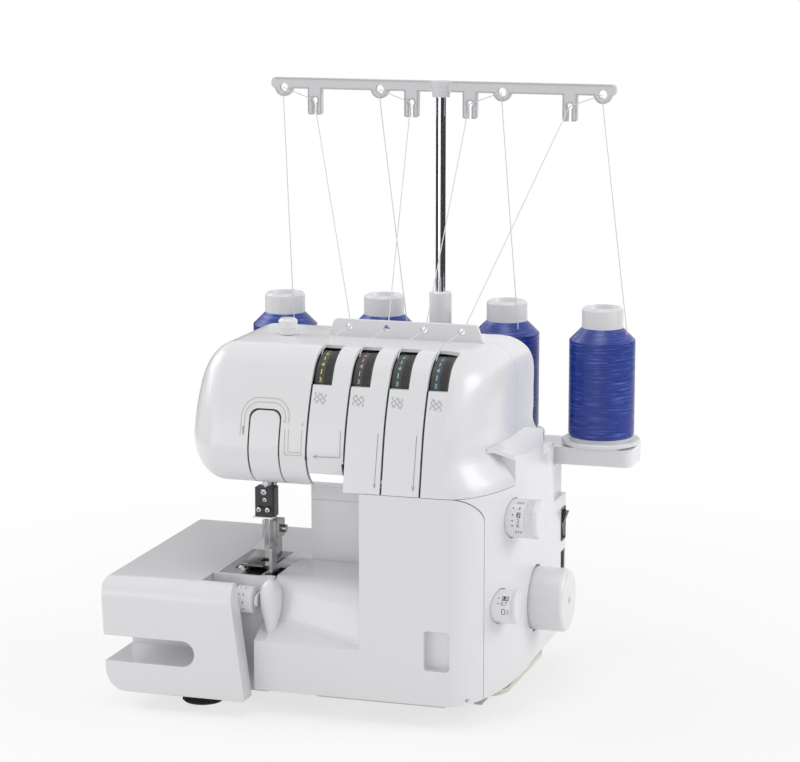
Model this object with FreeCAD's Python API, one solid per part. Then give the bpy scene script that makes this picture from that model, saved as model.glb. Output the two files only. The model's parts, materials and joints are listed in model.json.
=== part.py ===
"""Domestic four-thread overlock sewing machine, built as separate pieces.

Millimetres. +X is the machine's right, the front faces -Y and +Z is up. The origin is on the
table top, under the middle of the machine's outline.
"""
import FreeCAD, Part
import math
import os

V = FreeCAD.Vector

# Overall outline
OVERALL_W = 371.0          # extension table's left end to the right spool pad
OVERALL_D = 282.0          # extension table's front to the rear of the inner spool pads
BED_TOP = 102.0
HEAD_TOP = 280.0

# Walls and fits
FAR = 400.0                # past every piece, for cutting tools
WALL = 2.5                 # moulded covers
SEAM = 0.4                 # gap between neighbouring covers
RUN = 0.05                 # radial running clearance of shafts and pins
GAP = 0.6                  # room around a piece that moves past a cover

# Base and feet
FOOT_R = 16.5
FOOT_H = 6.0
BASE_T = 4.0
BASE_LEFT = -150.0
BASE_RIGHT = 112.0
BASE_REAR = 84.0
BASE_FRONT = -88.0
STRIP_LEFT = -29.0         # part of the base plate that shows below the looper cover
STRIP_RIGHT = 77.0
FOOT_INSET = 34.0
RIGHT_FOOT_INSET = 44.0
LUG_FRONT = -108.0         # base plate's front edge under the free arm
FRONT_FOOT_Y = -104.0
RIGHT_FOOT_Y = -42.0

# Lower body
BODY_FRONT = -121.0
BODY_RIGHT = 126.0
BODY_REAR = 66.0
BACK_REAR = 92.0           # rear wall under the spool stand
BACK_TOP = 167.0
COVER_TOP = 178.0          # seam between looper cover and head
COVER_BOTTOM = 17.5
CORNER_X = 83.5            # where the front right corner starts to curve
CORNER_Y = -20.0
STEP_X = 18.0              # left side of the looper cover's tall part
CORNER_RISE = 9.5          # how much the lower edge climbs round the right front corner
REAR_RISE = 12.0           # and at the rear

# Column between bed and head
COLUMN_LEFT = -49.0
COLUMN_FRONT = -37.0
COLUMN_SEAM_Z = 151.0

# Head
HEAD_LEFT = -128.0
HEAD_BOTTOM = 174.5
HEAD_REAR = 45.0
FACE_Y = -67.5             # axis of the rounded top front edge, shared by the tension dials
FACE_R = 30.0
FACE_SWEEP = 60.0
SLOPE_R = 178.0
SLOPE_SWEEP = 19.0
END_X = -98.0              # where the head's left end starts to round off
END_TOP = 47.0
END_BOTTOM = 33.0
END_FRONT = 38.0
END_REAR = 30.0
END_STEP = 15             # degrees between outlines round the left end
HEAD_RIGHT = 110.0
HEAD_SWEEP = 30.0          # width of the head's right front corner
SHOULDER_Z = 208.0         # head's walls stop drawing in here
SHOULDER_R = 27.0
SPLIT_Y = -8.0             # seam between front and rear cover
SHELF_FRONT = -58.0
SHELF_NOSE = 21.0          # overhang of the shelf in front of its wall
SHELF_IN = 109.0
SHELF_TOP = 208.5          # where the shelf meets the wall of the head
SHELF_DROP = 15.9          # fall of the shelf to its outer edge at the rear
SHELF_FRONT_DROP = 8.8     # and at the front end
SHELF_T = 3.2
SHELF_TIP_X = 104.5        # the nose runs slantwise from this tip to the side of the body
SHELF_TIP_Y = -76.0
SHELF_TAIL_X = 112.0       # slanting rear end of the shelf: its place at the rear wall
SHELF_TAIL_Y = 15.0        # and where it leaves the side of the body
SHELF_TAIL_Z = 197.0       # the top falls from there to this height at the rear wall
HOLLOW_DEPTH = 4.0         # hollow of the side wall under the spool stand
HOLLOW_TOP = 187.0
HOLLOW_FLOOR = 140.0
HOLLOW_FRONT_TOP = 40.0
HOLLOW_FRONT_FLOOR = 53.0

# Thread slits and tension dials
SLIT_X = -26.2
SLIT_PITCH = 30.5
SLIT_W = 1.6
SLITS = 4
DIAL_W = 14.6
DIAL_RECESS = 1.6          # dial rim to the inside of the cover
WINDOW_W = 15.6
WINDOW_FRONT_Z = 255.0
POST_R = 4.0
DISC_R = 12.0
DISC_T = 0.6

# Take-up cover
TAKEUP_X = -60.5
TAKEUP_W = 26.0
TAKEUP_TOP = 236.0
TAKEUP_GAP = 1.3
TAKEUP_CORNER = 7.0

# Thread guide plate on the head
PLATE_Y = -20.0
PLATE_T = 4.0
PLATE_H = 13.4
PLATE_MARGIN = 12.0
PLATE_SLOPE = 5.0
EYE_R = 2.6
EYE_SHIFT = 4.2            # eyes sit to the right of their slits

# Needle bar and presser bar
NEEDLE_X = -78.0
NEEDLE_Y = -60.0
NEEDLE_BAR_R = 3.5
NEEDLE_GAUGE = 4.0
NEEDLE_R = 0.8
TIP_RISE = 11.0            # needle point above the bed at the top of the stroke
CLAMP_W = 16.0
CLAMP_D = 13.0
CLAMP_H = 23.0
CLAMP_RISE = 39.0
PRESSER_X = -78.0
PRESSER_Y = -45.0
PRESSER_BAR_R = 3.0
KNOB_X = -70.6
KNOB_Y = -28.0
KNOB_R = 7.5
KNOB_STEM_R = 2.5
KNOB_H = 12.5

# Bed, needle plate and knives
BED_LEFT = -108.0
BED_FRONT = -100.0
BED_REAR = 60.0
BED_T = 4.0
ARM_RIGHT = -58.5          # right edge of the bed in front of the column
NPLATE_LEFT = -105.0
NPLATE_RIGHT = -70.0
NPLATE_FRONT = -97.0
NPLATE_REAR = -20.0
NPLATE_T = 2.0
NPLATE_FIT = 0.2

# Stitch width dial in front of the bed
WIDTH_DIAL_R = 10.5
WIDTH_DIAL_W = 14.0
WIDTH_DIAL_X = -76.5
WIDTH_DIAL_Y = -111.0
WIDTH_DIAL_Z = 86.0
LUG_T = 2.4

# Looper cover
LIP_Z = 56.0
CHUTE_Y = -98.0
CHUTE_R = 11.0             # brow of the chute at its left end
CHUTE_FLOOR = 19.0         # depth of the chute's floor behind the lip
CHUTE_RISE = 16.0          # and its rise to the rear
CHUTE_BEND = 12.0          # bend between floor and wall
CHUTE_RIGHT_R = 30.0       # the same at the right end
CHUTE_RIGHT_FLOOR = 7.0
CHUTE_RIGHT_RISE = 1.5
CHUTE_RIGHT_BEND = 6.0
SEAM_Y = -99.4             # plane that parts looper cover and side cover
HINGE_Y = -112.0
HINGE_Z = 21.5
HINGE_ROD_R = 1.5
FINGER_X = 79.0
FINGER_Z = 60.0
FINGER_W = 20.0
FINGER_H = 31.0
FINGER_DEPTH = 9.0
BULGE_X = -57.0            # rounded end of the chute beside the width dial
BULGE_Y = -109.6
BULGE_R = 8.6
WING_GAP = 0.8             # end of the cover to the tip of the extension table
WING_RISE = 12.0           # how far the end slopes up towards the bed
COVER_CORNER = 22.0        # rounded upper right corner of the cover

# Extension table
TABLE_REAR = 66.0
TABLE_BOTTOM = 12.5
TABLE_WALL = 3.0
TABLE_NOSE_R = 15.0
TABLE_CORNER_R = 18.0
TABLE_INNER_Y = -124.0     # back of the strip in front of the bed
TABLE_TIP_TOP = -80.0      # slanted right end of that strip
TABLE_TIP_BOTTOM = -68.0
SLOT_LOW = 36.5
SLOT_HIGH = 57.0
SLOT_END = -108.8
SLOT_DEPTH = 54.0

# Drive
SHAFT_Y = -4.0
SHAFT_Z = 76.0
SHAFT_R = 6.0
BUSH_T = 3.0
WHEEL_R = 25.0
WHEEL_FACE = 153.0
WHEEL_BACK = 118.0
WHEEL_GAP = 1.6
PULLEY_X = 80.0
PULLEY_W = 8.0
SHAFT_PULLEY_R = 24.0
MOTOR_PULLEY_R = 8.0
MOTOR_Y = 52.0
MOTOR_Z = 48.0
MOTOR_R = 28.0
MOTOR_L = 50.0
BELT_T = 2.0
BELT_CLEAR = 0.3

# Side dials
LENGTH_DIAL_Y = -60.0
LENGTH_DIAL_Z = 153.0
LENGTH_DIAL_R = 15.0
LENGTH_DIAL_FACE = 144.0
RATIO_DIAL_Y = -79.5
RATIO_DIAL_Z = 88.3
RATIO_DIAL_R = 13.0
RATIO_DIAL_FACE = 132.5
DIAL_STEM_R = 4.0
DIAL_BACK = 110.0

# Switch and socket
SWITCH_Y = 83.0
SWITCH_Z = 116.0
SWITCH_W = 13.0
SWITCH_H = 27.0
SWITCH_D = 14.0
SOCKET_Z = 82.0
SOCKET_H = 24.0
ROCKER_R = 15.0
ROCKER_PIN_R = 1.5
ROCKER_PIN_BACK = 3.0      # rocker's pin behind the side wall
SWITCH_WALL = 1.5

# Spool stand and thread tree
PAD_R = 32.0
PAD_T = 5.0
PIN_OUT = 135.6            # outer pins from the pole
PIN_IN = 52.7              # inner pins from the pole
PIN_OUT_Y = 97.0
PIN_R = 3.0
PIN_H = 54.0
STAND_T = 14.0
STAND_FRONT = 75.0
STAND_REAR = 119.0
STAND_OVER = 29.5          # bar past the outer pins
POLE_Y = 95.4
POLE_R = 4.15
POLE_ENGAGE = 22.0
SLEEVE_R = 9.1
SLEEVE_TOP = 300.0
BAR_TOP = 472.0
BAR_H = 9.0
BAR_T = 5.0
BAR_HALF = 144.7
BAR_EYE_R = 3.6
BAR_EYE_OUT = 134.0
BAR_EYE_IN = 51.4
LOBE_R = 7.5
HOOK_W = 12.0
HOOK_H = 21.0
HOOK_OUT = 107.2
HOOK_IN = 24.6
SPOOL_R = 26.7
SPOOL_CAP_R = 16.7
SPOOL_SHOULDER = 81.0      # heights above the pad
SPOOL_NECK = 91.0
SPOOL_TOP = 107.5
BARREL_R = 14.0
THREAD_R = 0.4
THREAD_OUT = 23.0          # where a thread leaves its spool: distance from the spool's axis
THREAD_RISE = 6.0          # height above the winding's shoulder
THREAD_TURNS = [52.0, 18.0, 52.0, 18.0]    # and angle towards the front

# Places worked out from the sizes above
LEFT_X = -OVERALL_W / 2
FRONT_Y = -OVERALL_D / 2
POLE_X = OVERALL_W / 2 - PAD_R - PIN_OUT
PIN_IN_Y = OVERALL_D / 2 - PAD_R
BASE_TOP = FOOT_H + BASE_T
STAND_TOP = BACK_TOP + STAND_T
PAD_TOP = STAND_TOP + PAD_T
PINS = [
    (POLE_X - PIN_OUT, PIN_OUT_Y),
    (POLE_X - PIN_IN, PIN_IN_Y),
    (POLE_X + PIN_IN, PIN_IN_Y),
    (POLE_X + PIN_OUT, PIN_OUT_Y),
]
SLIT_XS = [SLIT_X + SLIT_PITCH * i for i in range(SLITS)]
HEAD_JOIN = SLIT_XS[1]     # the head's overhang meets the body at the second slit
DIAL_R = FACE_R - WALL - DIAL_RECESS
DIAL_Z = HEAD_TOP - FACE_R
FOOT_SOLE = BED_TOP + 0.5
ARM_BACK_Y = -25.0         # front face of the frame's arm
ARM_REAR_Y = 10.0
ARM_Z0 = 205.0
ARM_Z1 = 235.0


# Basic solids

def box(x0, x1, y0, y1, z0, z1):
    """Block between two corners."""
    return Part.makeBox(x1 - x0, y1 - y0, z1 - z0, V(x0, y0, z0))


def rod_x(r, x0, x1, y, z):
    """Round bar along X."""
    return Part.makeCylinder(r, x1 - x0, V(x0, y, z), V(1, 0, 0))


def rod_y(r, y0, y1, x, z):
    """Round bar along Y."""
    return Part.makeCylinder(r, y1 - y0, V(x, y0, z), V(0, 1, 0))


def rod_z(r, z0, z1, x, y):
    """Round bar along Z."""
    return Part.makeCylinder(r, z1 - z0, V(x, y, z0), V(0, 0, 1))


def on_yz(u, v):
    """Outline drawn in the side view."""
    return V(0, u, v)


def on_xz(u, v):
    """Outline drawn in the front view."""
    return V(u, 0, v)


def on_xy(u, v):
    """Outline drawn in plan."""
    return V(u, v, 0)


def rounded(corners, place):
    """Closed face through corners (u, v, radius), each corner rounded by its own radius."""
    entries = []
    count = len(corners)
    for i, (u, v, r) in enumerate(corners):
        here = V(u, v, 0)
        back = V(corners[i - 1][0], corners[i - 1][1], 0) - here
        on = V(corners[(i + 1) % count][0], corners[(i + 1) % count][1], 0) - here
        back.normalize()
        on.normalize()
        if r <= 0:
            entries.append((here, None, here))
            continue
        half = back.getAngle(on) / 2
        reach = r / math.tan(half)
        bisector = back + on
        bisector.normalize()
        middle = here + bisector * (r / math.sin(half) - r)
        entries.append((here + back * reach, middle, here + on * reach))
    edges = []
    for i, (start, middle, end) in enumerate(entries):
        if middle is not None:
            bend = [place(p.x, p.y) for p in (start, middle, end)]
            edges.append(Part.Arc(*bend).toShape())
        following = entries[(i + 1) % count][0]
        if (following - end).Length > 1e-6:
            edges.append(Part.LineSegment(place(end.x, end.y), place(following.x, following.y)).toShape())
    return Part.Face(Part.Wire(edges))


def along_x(corners, x0, x1):
    """Side-view outline carried along X."""
    face = rounded(corners, on_yz)
    face.translate(V(x0, 0, 0))
    return face.extrude(V(x1 - x0, 0, 0))


def along_y(corners, y0, y1):
    """Front-view outline carried along Y."""
    face = rounded(corners, on_xz)
    face.translate(V(0, y0, 0))
    return face.extrude(V(0, y1 - y0, 0))


def along_z(corners, z0, z1):
    """Plan outline carried along Z."""
    face = rounded(corners, on_xy)
    face.translate(V(0, 0, z0))
    return face.extrude(V(0, 0, z1 - z0))


def rectangle(u0, u1, v0, v1, r):
    """Corners of a rectangle with one radius."""
    return [(u0, v0, r), (u1, v0, r), (u1, v1, r), (u0, v1, r)]


def turned(profile, centre):
    """Solid of revolution about a vertical axis from (radius, height) corners."""
    points = [V(r, 0, z) for r, z in profile]
    face = Part.Face(Part.makePolygon(points + points[:1]))
    solid = face.revolve(V(0, 0, 0), V(0, 0, 1), 360)
    solid.translate(V(*centre))
    return solid


def fuse(first, *others):
    """One solid from several that touch."""
    return first.fuse(list(others)).removeSplitter()


def edges_at(shape, test):
    """Edges whose middle point passes a test."""
    chosen = []
    for edge in shape.Edges:
        middle = edge.valueAt((edge.FirstParameter + edge.LastParameter) / 2)
        if test(middle):
            chosen.append(edge)
    return chosen


def tube_along(points, r, bend):
    """Thread of radius r: straight runs between points, joined by tangent arcs of radius bend."""
    pieces = []
    start = points[0]
    for i in range(1, len(points) - 1):
        back = (points[i - 1] - points[i]).normalize()
        on = (points[i + 1] - points[i]).normalize()
        half = back.getAngle(on) / 2
        reach = bend / math.tan(half)
        bisector = (back + on).normalize()
        enter = points[i] + back * reach
        leave = points[i] + on * reach
        middle = points[i] + bisector * (bend / math.sin(half) - bend)
        pieces.append(Part.LineSegment(start, enter).toShape())
        pieces.append(Part.Arc(enter, middle, leave).toShape())
        start = leave
    pieces.append(Part.LineSegment(start, points[-1]).toShape())
    path = Part.Wire(pieces)
    section = Part.Wire(Part.Circle(points[0], points[1] - points[0], r).toShape())
    return path.makePipeShell([section], True, True)


# Casing envelope

def face_point(angle):
    """Point of the head's front outline where its outward normal has turned by angle from up."""
    def on_arc(centre, r, a):
        return (centre[0] - r * math.sin(math.radians(a)), centre[1] + r * math.cos(math.radians(a)))

    crown = (FACE_Y, HEAD_TOP - FACE_R)
    if angle <= FACE_SWEEP:
        return on_arc(crown, FACE_R, angle)
    start = on_arc(crown, FACE_R, FACE_SWEEP)
    turn = math.radians(FACE_SWEEP)
    slope = (start[0] + SLOPE_R * math.sin(turn), start[1] - SLOPE_R * math.cos(turn))
    last = FACE_SWEEP + SLOPE_SWEEP
    if angle <= last:
        return on_arc(slope, SLOPE_R, angle)
    low = on_arc(slope, SLOPE_R, last)
    turn = math.radians(last)
    r = (low[1] - HEAD_BOTTOM) / (1 + math.cos(turn))
    chin = (low[0] + r * math.sin(turn), low[1] - r * math.cos(turn))
    return on_arc(chin, r, angle)


def front_y(z):
    """Front surface of the body at a height between the cover seam and the top."""
    crown_z = face_point(FACE_SWEEP)[1]
    low_y, low_z = face_point(FACE_SWEEP + SLOPE_SWEEP)
    if z >= crown_z:
        rise = z - (HEAD_TOP - FACE_R)
        return FACE_Y - math.sqrt(max(FACE_R ** 2 - rise ** 2, 0))
    if z >= low_z:
        turn = math.radians(FACE_SWEEP)
        y0, z0 = face_point(FACE_SWEEP)
        centre_y = y0 + SLOPE_R * math.sin(turn)
        centre_z = z0 - SLOPE_R * math.cos(turn)
        return centre_y - math.sqrt(SLOPE_R ** 2 - (z - centre_z) ** 2)
    share = (z - COVER_TOP) / (low_z - COVER_TOP)
    return BODY_FRONT + (low_y - BODY_FRONT) * share


def eased(z, z0, z1, a, b):
    """Smooth change from a at z0 to b at z1."""
    t = min(max((z - z0) / (z1 - z0), 0), 1)
    return a + (b - a) * t * t * (3 - 2 * t)


def right_x(z):
    """Right wall of the upper body: it draws in above the seam and rounds off at the top."""
    wall = eased(z, COVER_TOP, SHOULDER_Z, BODY_RIGHT, HEAD_RIGHT)
    rise = max(z - (HEAD_TOP - SHOULDER_R), 0)
    return wall - SHOULDER_R + math.sqrt(SHOULDER_R ** 2 - rise ** 2)


def rear_y(z):
    """Rear wall of the upper body, drawn in and rounded like the right wall."""
    wall = eased(z, COVER_TOP, SHOULDER_Z, BODY_REAR, HEAD_REAR)
    rise = max(z - (HEAD_TOP - SHOULDER_R), 0)
    return wall - SHOULDER_R + math.sqrt(SHOULDER_R ** 2 - rise ** 2)


def body_plan(z, left, front, right, rear):
    """Plan outline of the body: straight front, elliptical right front corner, square rear."""
    sweep = eased(z, COVER_TOP, SHOULDER_Z, BODY_RIGHT - CORNER_X, HEAD_SWEEP)
    start = right - sweep * min(right / HEAD_RIGHT, 1)
    corner = Part.Ellipse(V(start, front, z), V(right, CORNER_Y, z), V(start, CORNER_Y, z))
    corners = [(right, CORNER_Y), (right, rear), (left, rear), (left, front), (start, front)]
    points = [V(x, y, z) for x, y in corners]
    edges = [Part.ArcOfEllipse(corner, 0, math.pi / 2).toShape()]
    for a, b in zip(points, points[1:]):
        edges.append(Part.LineSegment(a, b).toShape())
    return Part.Wire(edges)


def upper_body(inset, left):
    """Upper right part of the casing, through plan outlines from the cover seam to the top."""
    crown = [HEAD_TOP - FACE_R + FACE_R * math.cos(math.radians(a)) for a in (60, 45, 30, 15, 0)]
    lower = [COVER_TOP, COVER_TOP + 10, COVER_TOP + 20, SHOULDER_Z, SHOULDER_Z + 17]
    middle = [SHOULDER_Z + 32, HEAD_TOP - SHOULDER_R]
    heights = lower + middle + crown
    squeeze = (HEAD_TOP - inset - COVER_TOP) / (HEAD_TOP - COVER_TOP)
    wires = []
    for z in heights:
        level = COVER_TOP + (z - COVER_TOP) * squeeze
        wires.append(body_plan(level, left, front_y(z) + inset, right_x(z) - inset, rear_y(z) - inset))
    return Part.makeLoft(wires, True, False)


def head_outline():
    """Side outline of the head: flat top, rounded face, rounded chin, flat underside, square back."""
    def at(angle):
        return on_yz(*face_point(angle))

    last = FACE_SWEEP + SLOPE_SWEEP
    rear_r = 12.0
    crown_r = SHOULDER_R
    edges = []
    for a, b in ((0, FACE_SWEEP), (FACE_SWEEP, last), (last, 180)):
        edges.append(Part.Arc(at(a), at((a + b) / 2), at(b)).toShape())
    turn = math.sqrt(0.5)
    low = on_yz(HEAD_REAR - rear_r, HEAD_BOTTOM)
    low_mid = on_yz(HEAD_REAR - rear_r * (1 - turn), HEAD_BOTTOM + rear_r * (1 - turn))
    low_end = on_yz(HEAD_REAR, HEAD_BOTTOM + rear_r)
    high = on_yz(HEAD_REAR, HEAD_TOP - crown_r)
    high_mid = on_yz(HEAD_REAR - crown_r * (1 - turn), HEAD_TOP - crown_r * (1 - turn))
    high_end = on_yz(HEAD_REAR - crown_r, HEAD_TOP)
    edges.append(Part.LineSegment(at(180), low).toShape())
    edges.append(Part.Arc(low, low_mid, low_end).toShape())
    edges.append(Part.LineSegment(low_end, high).toShape())
    edges.append(Part.Arc(high, high_mid, high_end).toShape())
    edges.append(Part.LineSegment(high_end, at(0)).toShape())
    return Part.Wire(edges)


def head_body(inset, right):
    """Overhanging head: its side outline carried to the left and drawn in round the left end."""
    outline = head_outline()
    face_end = outline.BoundBox.YMin
    wires = []
    for turn in range(0, 91, END_STEP):
        angle = math.radians(turn)
        draw = 1 - math.cos(angle)
        y0 = face_end + inset + END_FRONT * draw
        y1 = HEAD_REAR - inset - END_REAR * draw
        z0 = HEAD_BOTTOM + inset + END_BOTTOM * draw
        z1 = HEAD_TOP - inset - END_TOP * draw
        move = FreeCAD.Matrix()
        move.A22 = (y1 - y0) / (HEAD_REAR - face_end)
        move.A33 = (z1 - z0) / (HEAD_TOP - HEAD_BOTTOM)
        move.A14 = END_X - (END_X - HEAD_LEFT - inset) * math.sin(angle)
        move.A24 = y0 - face_end * move.A22
        move.A34 = z0 - HEAD_BOTTOM * move.A33
        wires.append(outline.transformGeometry(move))
    straight = Part.Face(wires[0]).extrude(V(right - END_X, 0, 0))
    return straight.fuse(Part.makeLoft(wires, True, False))


def lower_body(inset, bottom):
    """Lower body in plan: tall right part, column behind the bed and the rear box."""
    outline = body_plan(bottom, STEP_X + inset, BODY_FRONT + inset, BODY_RIGHT - inset, BODY_REAR - inset)
    tall = Part.Face(outline).extrude(V(0, 0, COVER_TOP - bottom))
    column = box(COLUMN_LEFT + inset, STEP_X + 2 * WALL, COLUMN_FRONT + inset, BODY_REAR - inset,
                 bottom, HEAD_BOTTOM)
    back = box(COLUMN_LEFT + inset, BODY_RIGHT - inset, 0, BACK_REAR - inset, bottom, BACK_TOP - inset)
    return fuse(tall, column, back)


def shelf_plan(inset):
    """Plan of the body carried up to the shelf."""
    outline = body_plan(COVER_TOP - 10, STEP_X, BODY_FRONT + inset, BODY_RIGHT - inset, BODY_REAR - inset)
    return Part.Face(outline).extrude(V(0, 0, SHELF_TOP - COVER_TOP + 20))


def shelf_edge_z(y):
    """Height of the shelf's outer edge, which falls from its front end to the rear."""
    share = (y - SHELF_FRONT + SHELF_NOSE) / (BODY_REAR - SHELF_FRONT + SHELF_NOSE)
    return SHELF_TOP - SHELF_FRONT_DROP - (SHELF_DROP - SHELF_FRONT_DROP) * share


def twisted(section, y0, y1):
    """Solid through the section's corners at two depths; section(y) gives its X, Z corners."""
    wires = []
    for y in (y0, y1):
        points = [V(x, y, z) for x, z in section(y)]
        wires.append(Part.makePolygon(points + points[:1]))
    return Part.makeLoft(wires, True, True)


def shelf(inset):
    """Shelf on the right side under the spool stand, sloping down to its outer edge and its rear end."""
    outer = BODY_RIGHT + 1
    inner = HEAD_RIGHT - 2 * WALL + inset
    low = COVER_TOP - 10

    def section(y):
        top = SHELF_TOP - inset
        return [(inner, low), (outer, low), (outer, shelf_edge_z(y) - inset), (SHELF_IN, top), (inner, top)]

    tail = along_x([
        (SHELF_TAIL_Y, SHELF_TOP - inset, 0), (BODY_REAR, SHELF_TAIL_Z - inset, 0), (FAR, SHELF_TAIL_Z - inset, 0),
        (FAR, FAR, 0), (SHELF_TAIL_Y, FAR, 0),
    ], 0, FAR)
    return twisted(section, SHELF_FRONT + inset, BODY_REAR - inset).common(shelf_plan(inset)).cut(tail)


def shelf_nose():
    """Thin overhanging front end of the shelf, cut slantwise from its tip to the side of the body."""
    outer = BODY_RIGHT + 1
    inner = HEAD_RIGHT - 2 * WALL
    low = SHELF_TOP - SHELF_T

    def section(y):
        edge = shelf_edge_z(y)
        return [(inner, SHELF_TOP), (inner, low), (SHELF_IN, low), (outer, edge - SHELF_T), (outer, edge),
                (SHELF_IN, SHELF_TOP)]

    plate = twisted(section, SHELF_FRONT - SHELF_NOSE, SHELF_FRONT + WALL / 2)
    front = along_z([
        (SHELF_TIP_X, SHELF_TIP_Y, 0), (SHELF_TIP_X, -FAR, 0), (FAR, -FAR, 0), (FAR, SHELF_FRONT, 0),
        (BODY_RIGHT, SHELF_FRONT, 0),
    ], 0, FAR)
    return plate.common(shelf_plan(0)).cut([upper_body(-SEAM, HEAD_JOIN), front])


def side_hollow(wall):
    """Hollow in the rear of the right side wall, with the shelf's slanting end; wall grows it inwards."""
    corners = [
        (HOLLOW_FRONT_FLOOR - wall, HOLLOW_FLOOR - wall, 0), (FAR, HOLLOW_FLOOR - wall, 0),
        (FAR, HOLLOW_TOP + wall, 0), (HOLLOW_FRONT_TOP - wall, HOLLOW_TOP + wall, 0),
    ]
    hollow = along_x(corners, BODY_RIGHT - HOLLOW_DEPTH - wall, FAR)
    tail = along_z([
        (BODY_RIGHT - wall, SHELF_TAIL_Y, 0), (FAR, SHELF_TAIL_Y, 0), (FAR, FAR, 0),
        (SHELF_TAIL_X - wall, FAR, 0), (SHELF_TAIL_X - wall, BODY_REAR, 0),
    ], HOLLOW_TOP - wall, FAR)
    return fuse(hollow, tail)


def casing():
    """Outer skin of head and body, as one shell before it is parted into covers."""
    outer = fuse(
        head_body(0, HEAD_JOIN), upper_body(0, HEAD_JOIN), lower_body(0, BASE_TOP), shelf(0),
    )
    inner = fuse(
        head_body(WALL, HEAD_JOIN + WALL), upper_body(WALL, HEAD_JOIN - WALL),
        lower_body(WALL, BASE_TOP - 1), shelf(WALL),
    )
    join = box(HEAD_JOIN + WALL, BODY_RIGHT - 4 * WALL, COLUMN_FRONT, BODY_REAR - WALL,
               COVER_TOP - 5, COVER_TOP + 5)
    return outer.cut(side_hollow(0)).cut(fuse(inner, join).cut(side_hollow(WALL)))


# Regions that part the casing

def seam_x():
    """Where the plane of the looper cover's right edge meets the body's outline."""
    share = (SEAM_Y - CORNER_Y) / (BODY_FRONT - CORNER_Y)
    return CORNER_X + (BODY_RIGHT - CORNER_X) * math.sqrt(1 - share ** 2)


def looper_region(grow):
    """Front view of the looper cover's tall part, with its rounded upper right corner."""
    top = COVER_TOP - SEAM / 2 + grow
    right = seam_x() + grow
    corners = [
        (STEP_X - 1, 0, 0), (right, 0, 0), (right, top, COVER_CORNER + grow), (STEP_X - 1, top, 0),
    ]
    return along_y(corners, -FAR, SEAM_Y + grow)


def side_region():
    """Right side of the body below the shelf line, behind and above the looper cover's corner."""
    top = COVER_TOP - SEAM / 2
    low = box(BODY_RIGHT - 32, FAR, SEAM_Y + 2 * SEAM, FAR, 0, top)
    high = box(HEAD_RIGHT - 2 * WALL, FAR, SHELF_FRONT - SEAM, FAR, COVER_TOP - 5, SHELF_TOP)
    corner = box(seam_x() - COVER_CORNER, FAR, -FAR, SEAM_Y + 5, top - COVER_CORNER, top)
    return fuse(low, high, corner.cut(looper_region(2 * SEAM)))


def dial_windows():
    """Openings in the front cover over the tension dials, and the thread slits below them."""
    cuts = []
    for x in SLIT_XS:
        cuts.append(box(x - SLIT_W / 2, x + WINDOW_W, -FAR, FACE_Y + 4, WINDOW_FRONT_Z, FAR))
        cuts.append(box(x - SLIT_W / 2, x + SLIT_W / 2, -FAR, -88, HEAD_BOTTOM - 5, WINDOW_FRONT_Z + 1))
    return cuts


def takeup_window(gap):
    """Front-view outline of the take-up cover, shrunk by a gap all round."""
    half = TAKEUP_W / 2 - gap
    low = HEAD_BOTTOM - 10
    corners = [
        (TAKEUP_X - half, low, 0), (TAKEUP_X + half, low, 0),
        (TAKEUP_X + half, TAKEUP_TOP - gap, TAKEUP_CORNER),
        (TAKEUP_X - half, TAKEUP_TOP - gap, TAKEUP_CORNER),
    ]
    return along_y(corners, -FAR, -84 - gap)


# Covers

def front_cover(skin):
    """Front half of the head with slits, dial windows, take-up window and needle opening."""
    keep = fuse(
        box(-FAR, HEAD_JOIN, -FAR, SPLIT_Y, HEAD_BOTTOM - SEAM / 4, FAR),
        box(HEAD_JOIN - 1, FAR, -FAR, SPLIT_Y, COVER_TOP + SEAM / 2, FAR),
    )
    cover = skin.common(keep)
    cuts = dial_windows()
    cuts.append(takeup_window(0))
    cuts.append(side_region())
    cuts.append(box(NEEDLE_X - 13, NEEDLE_X + 13, NEEDLE_Y - 12, SPLIT_Y - 6,
                    HEAD_BOTTOM - 5, HEAD_BOTTOM + 8))
    cuts.append(rod_z(KNOB_STEM_R + RUN, HEAD_TOP - 10, HEAD_TOP + 10, KNOB_X, KNOB_Y))
    return largest(cover.fuse(head_floor()).cut(cuts))


def head_floor():
    """Floor that closes the front cover between the head and the looper cover."""
    z0 = COVER_TOP + SEAM / 2
    flat = box(HEAD_JOIN - WALL, STEP_X + WALL, -FAR, COLUMN_FRONT, z0, z0 + WALL)
    flat = flat.common(upper_body(0, HEAD_JOIN))
    riser = box(HEAD_JOIN - WALL, HEAD_JOIN, -FAR, COLUMN_FRONT, HEAD_BOTTOM, z0 + WALL)
    return fuse(flat, riser.common(head_body(0, HEAD_JOIN)))


def rear_cover(skin):
    """Rear half of the head with the back wall under the spool stand."""
    keep = fuse(
        box(-FAR, FAR, SPLIT_Y + SEAM, FAR, COVER_TOP + SEAM / 2, FAR),
        box(-FAR, HEAD_JOIN, SPLIT_Y + SEAM, FAR, HEAD_BOTTOM - SEAM / 4, FAR),
        box(COLUMN_LEFT - 1, BODY_RIGHT - 32 - SEAM, BODY_REAR - 2 * WALL, FAR, BASE_TOP, COVER_TOP + 1),
    )
    cover = skin.common(keep).cut(side_region())
    lever = rod_y(PRESSER_BAR_R + 2 * GAP, HEAD_REAR - 10, HEAD_REAR + 10, PRESSER_X, LEVER_Z)
    return largest(cover.cut(lever))


def swing_reach():
    """Radius about the hinge that the looper cover's side wall must stay inside."""
    return math.hypot(BODY_FRONT + WALL - HINGE_Y, COVER_TOP - HINGE_Z) - 2 * SEAM


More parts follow.
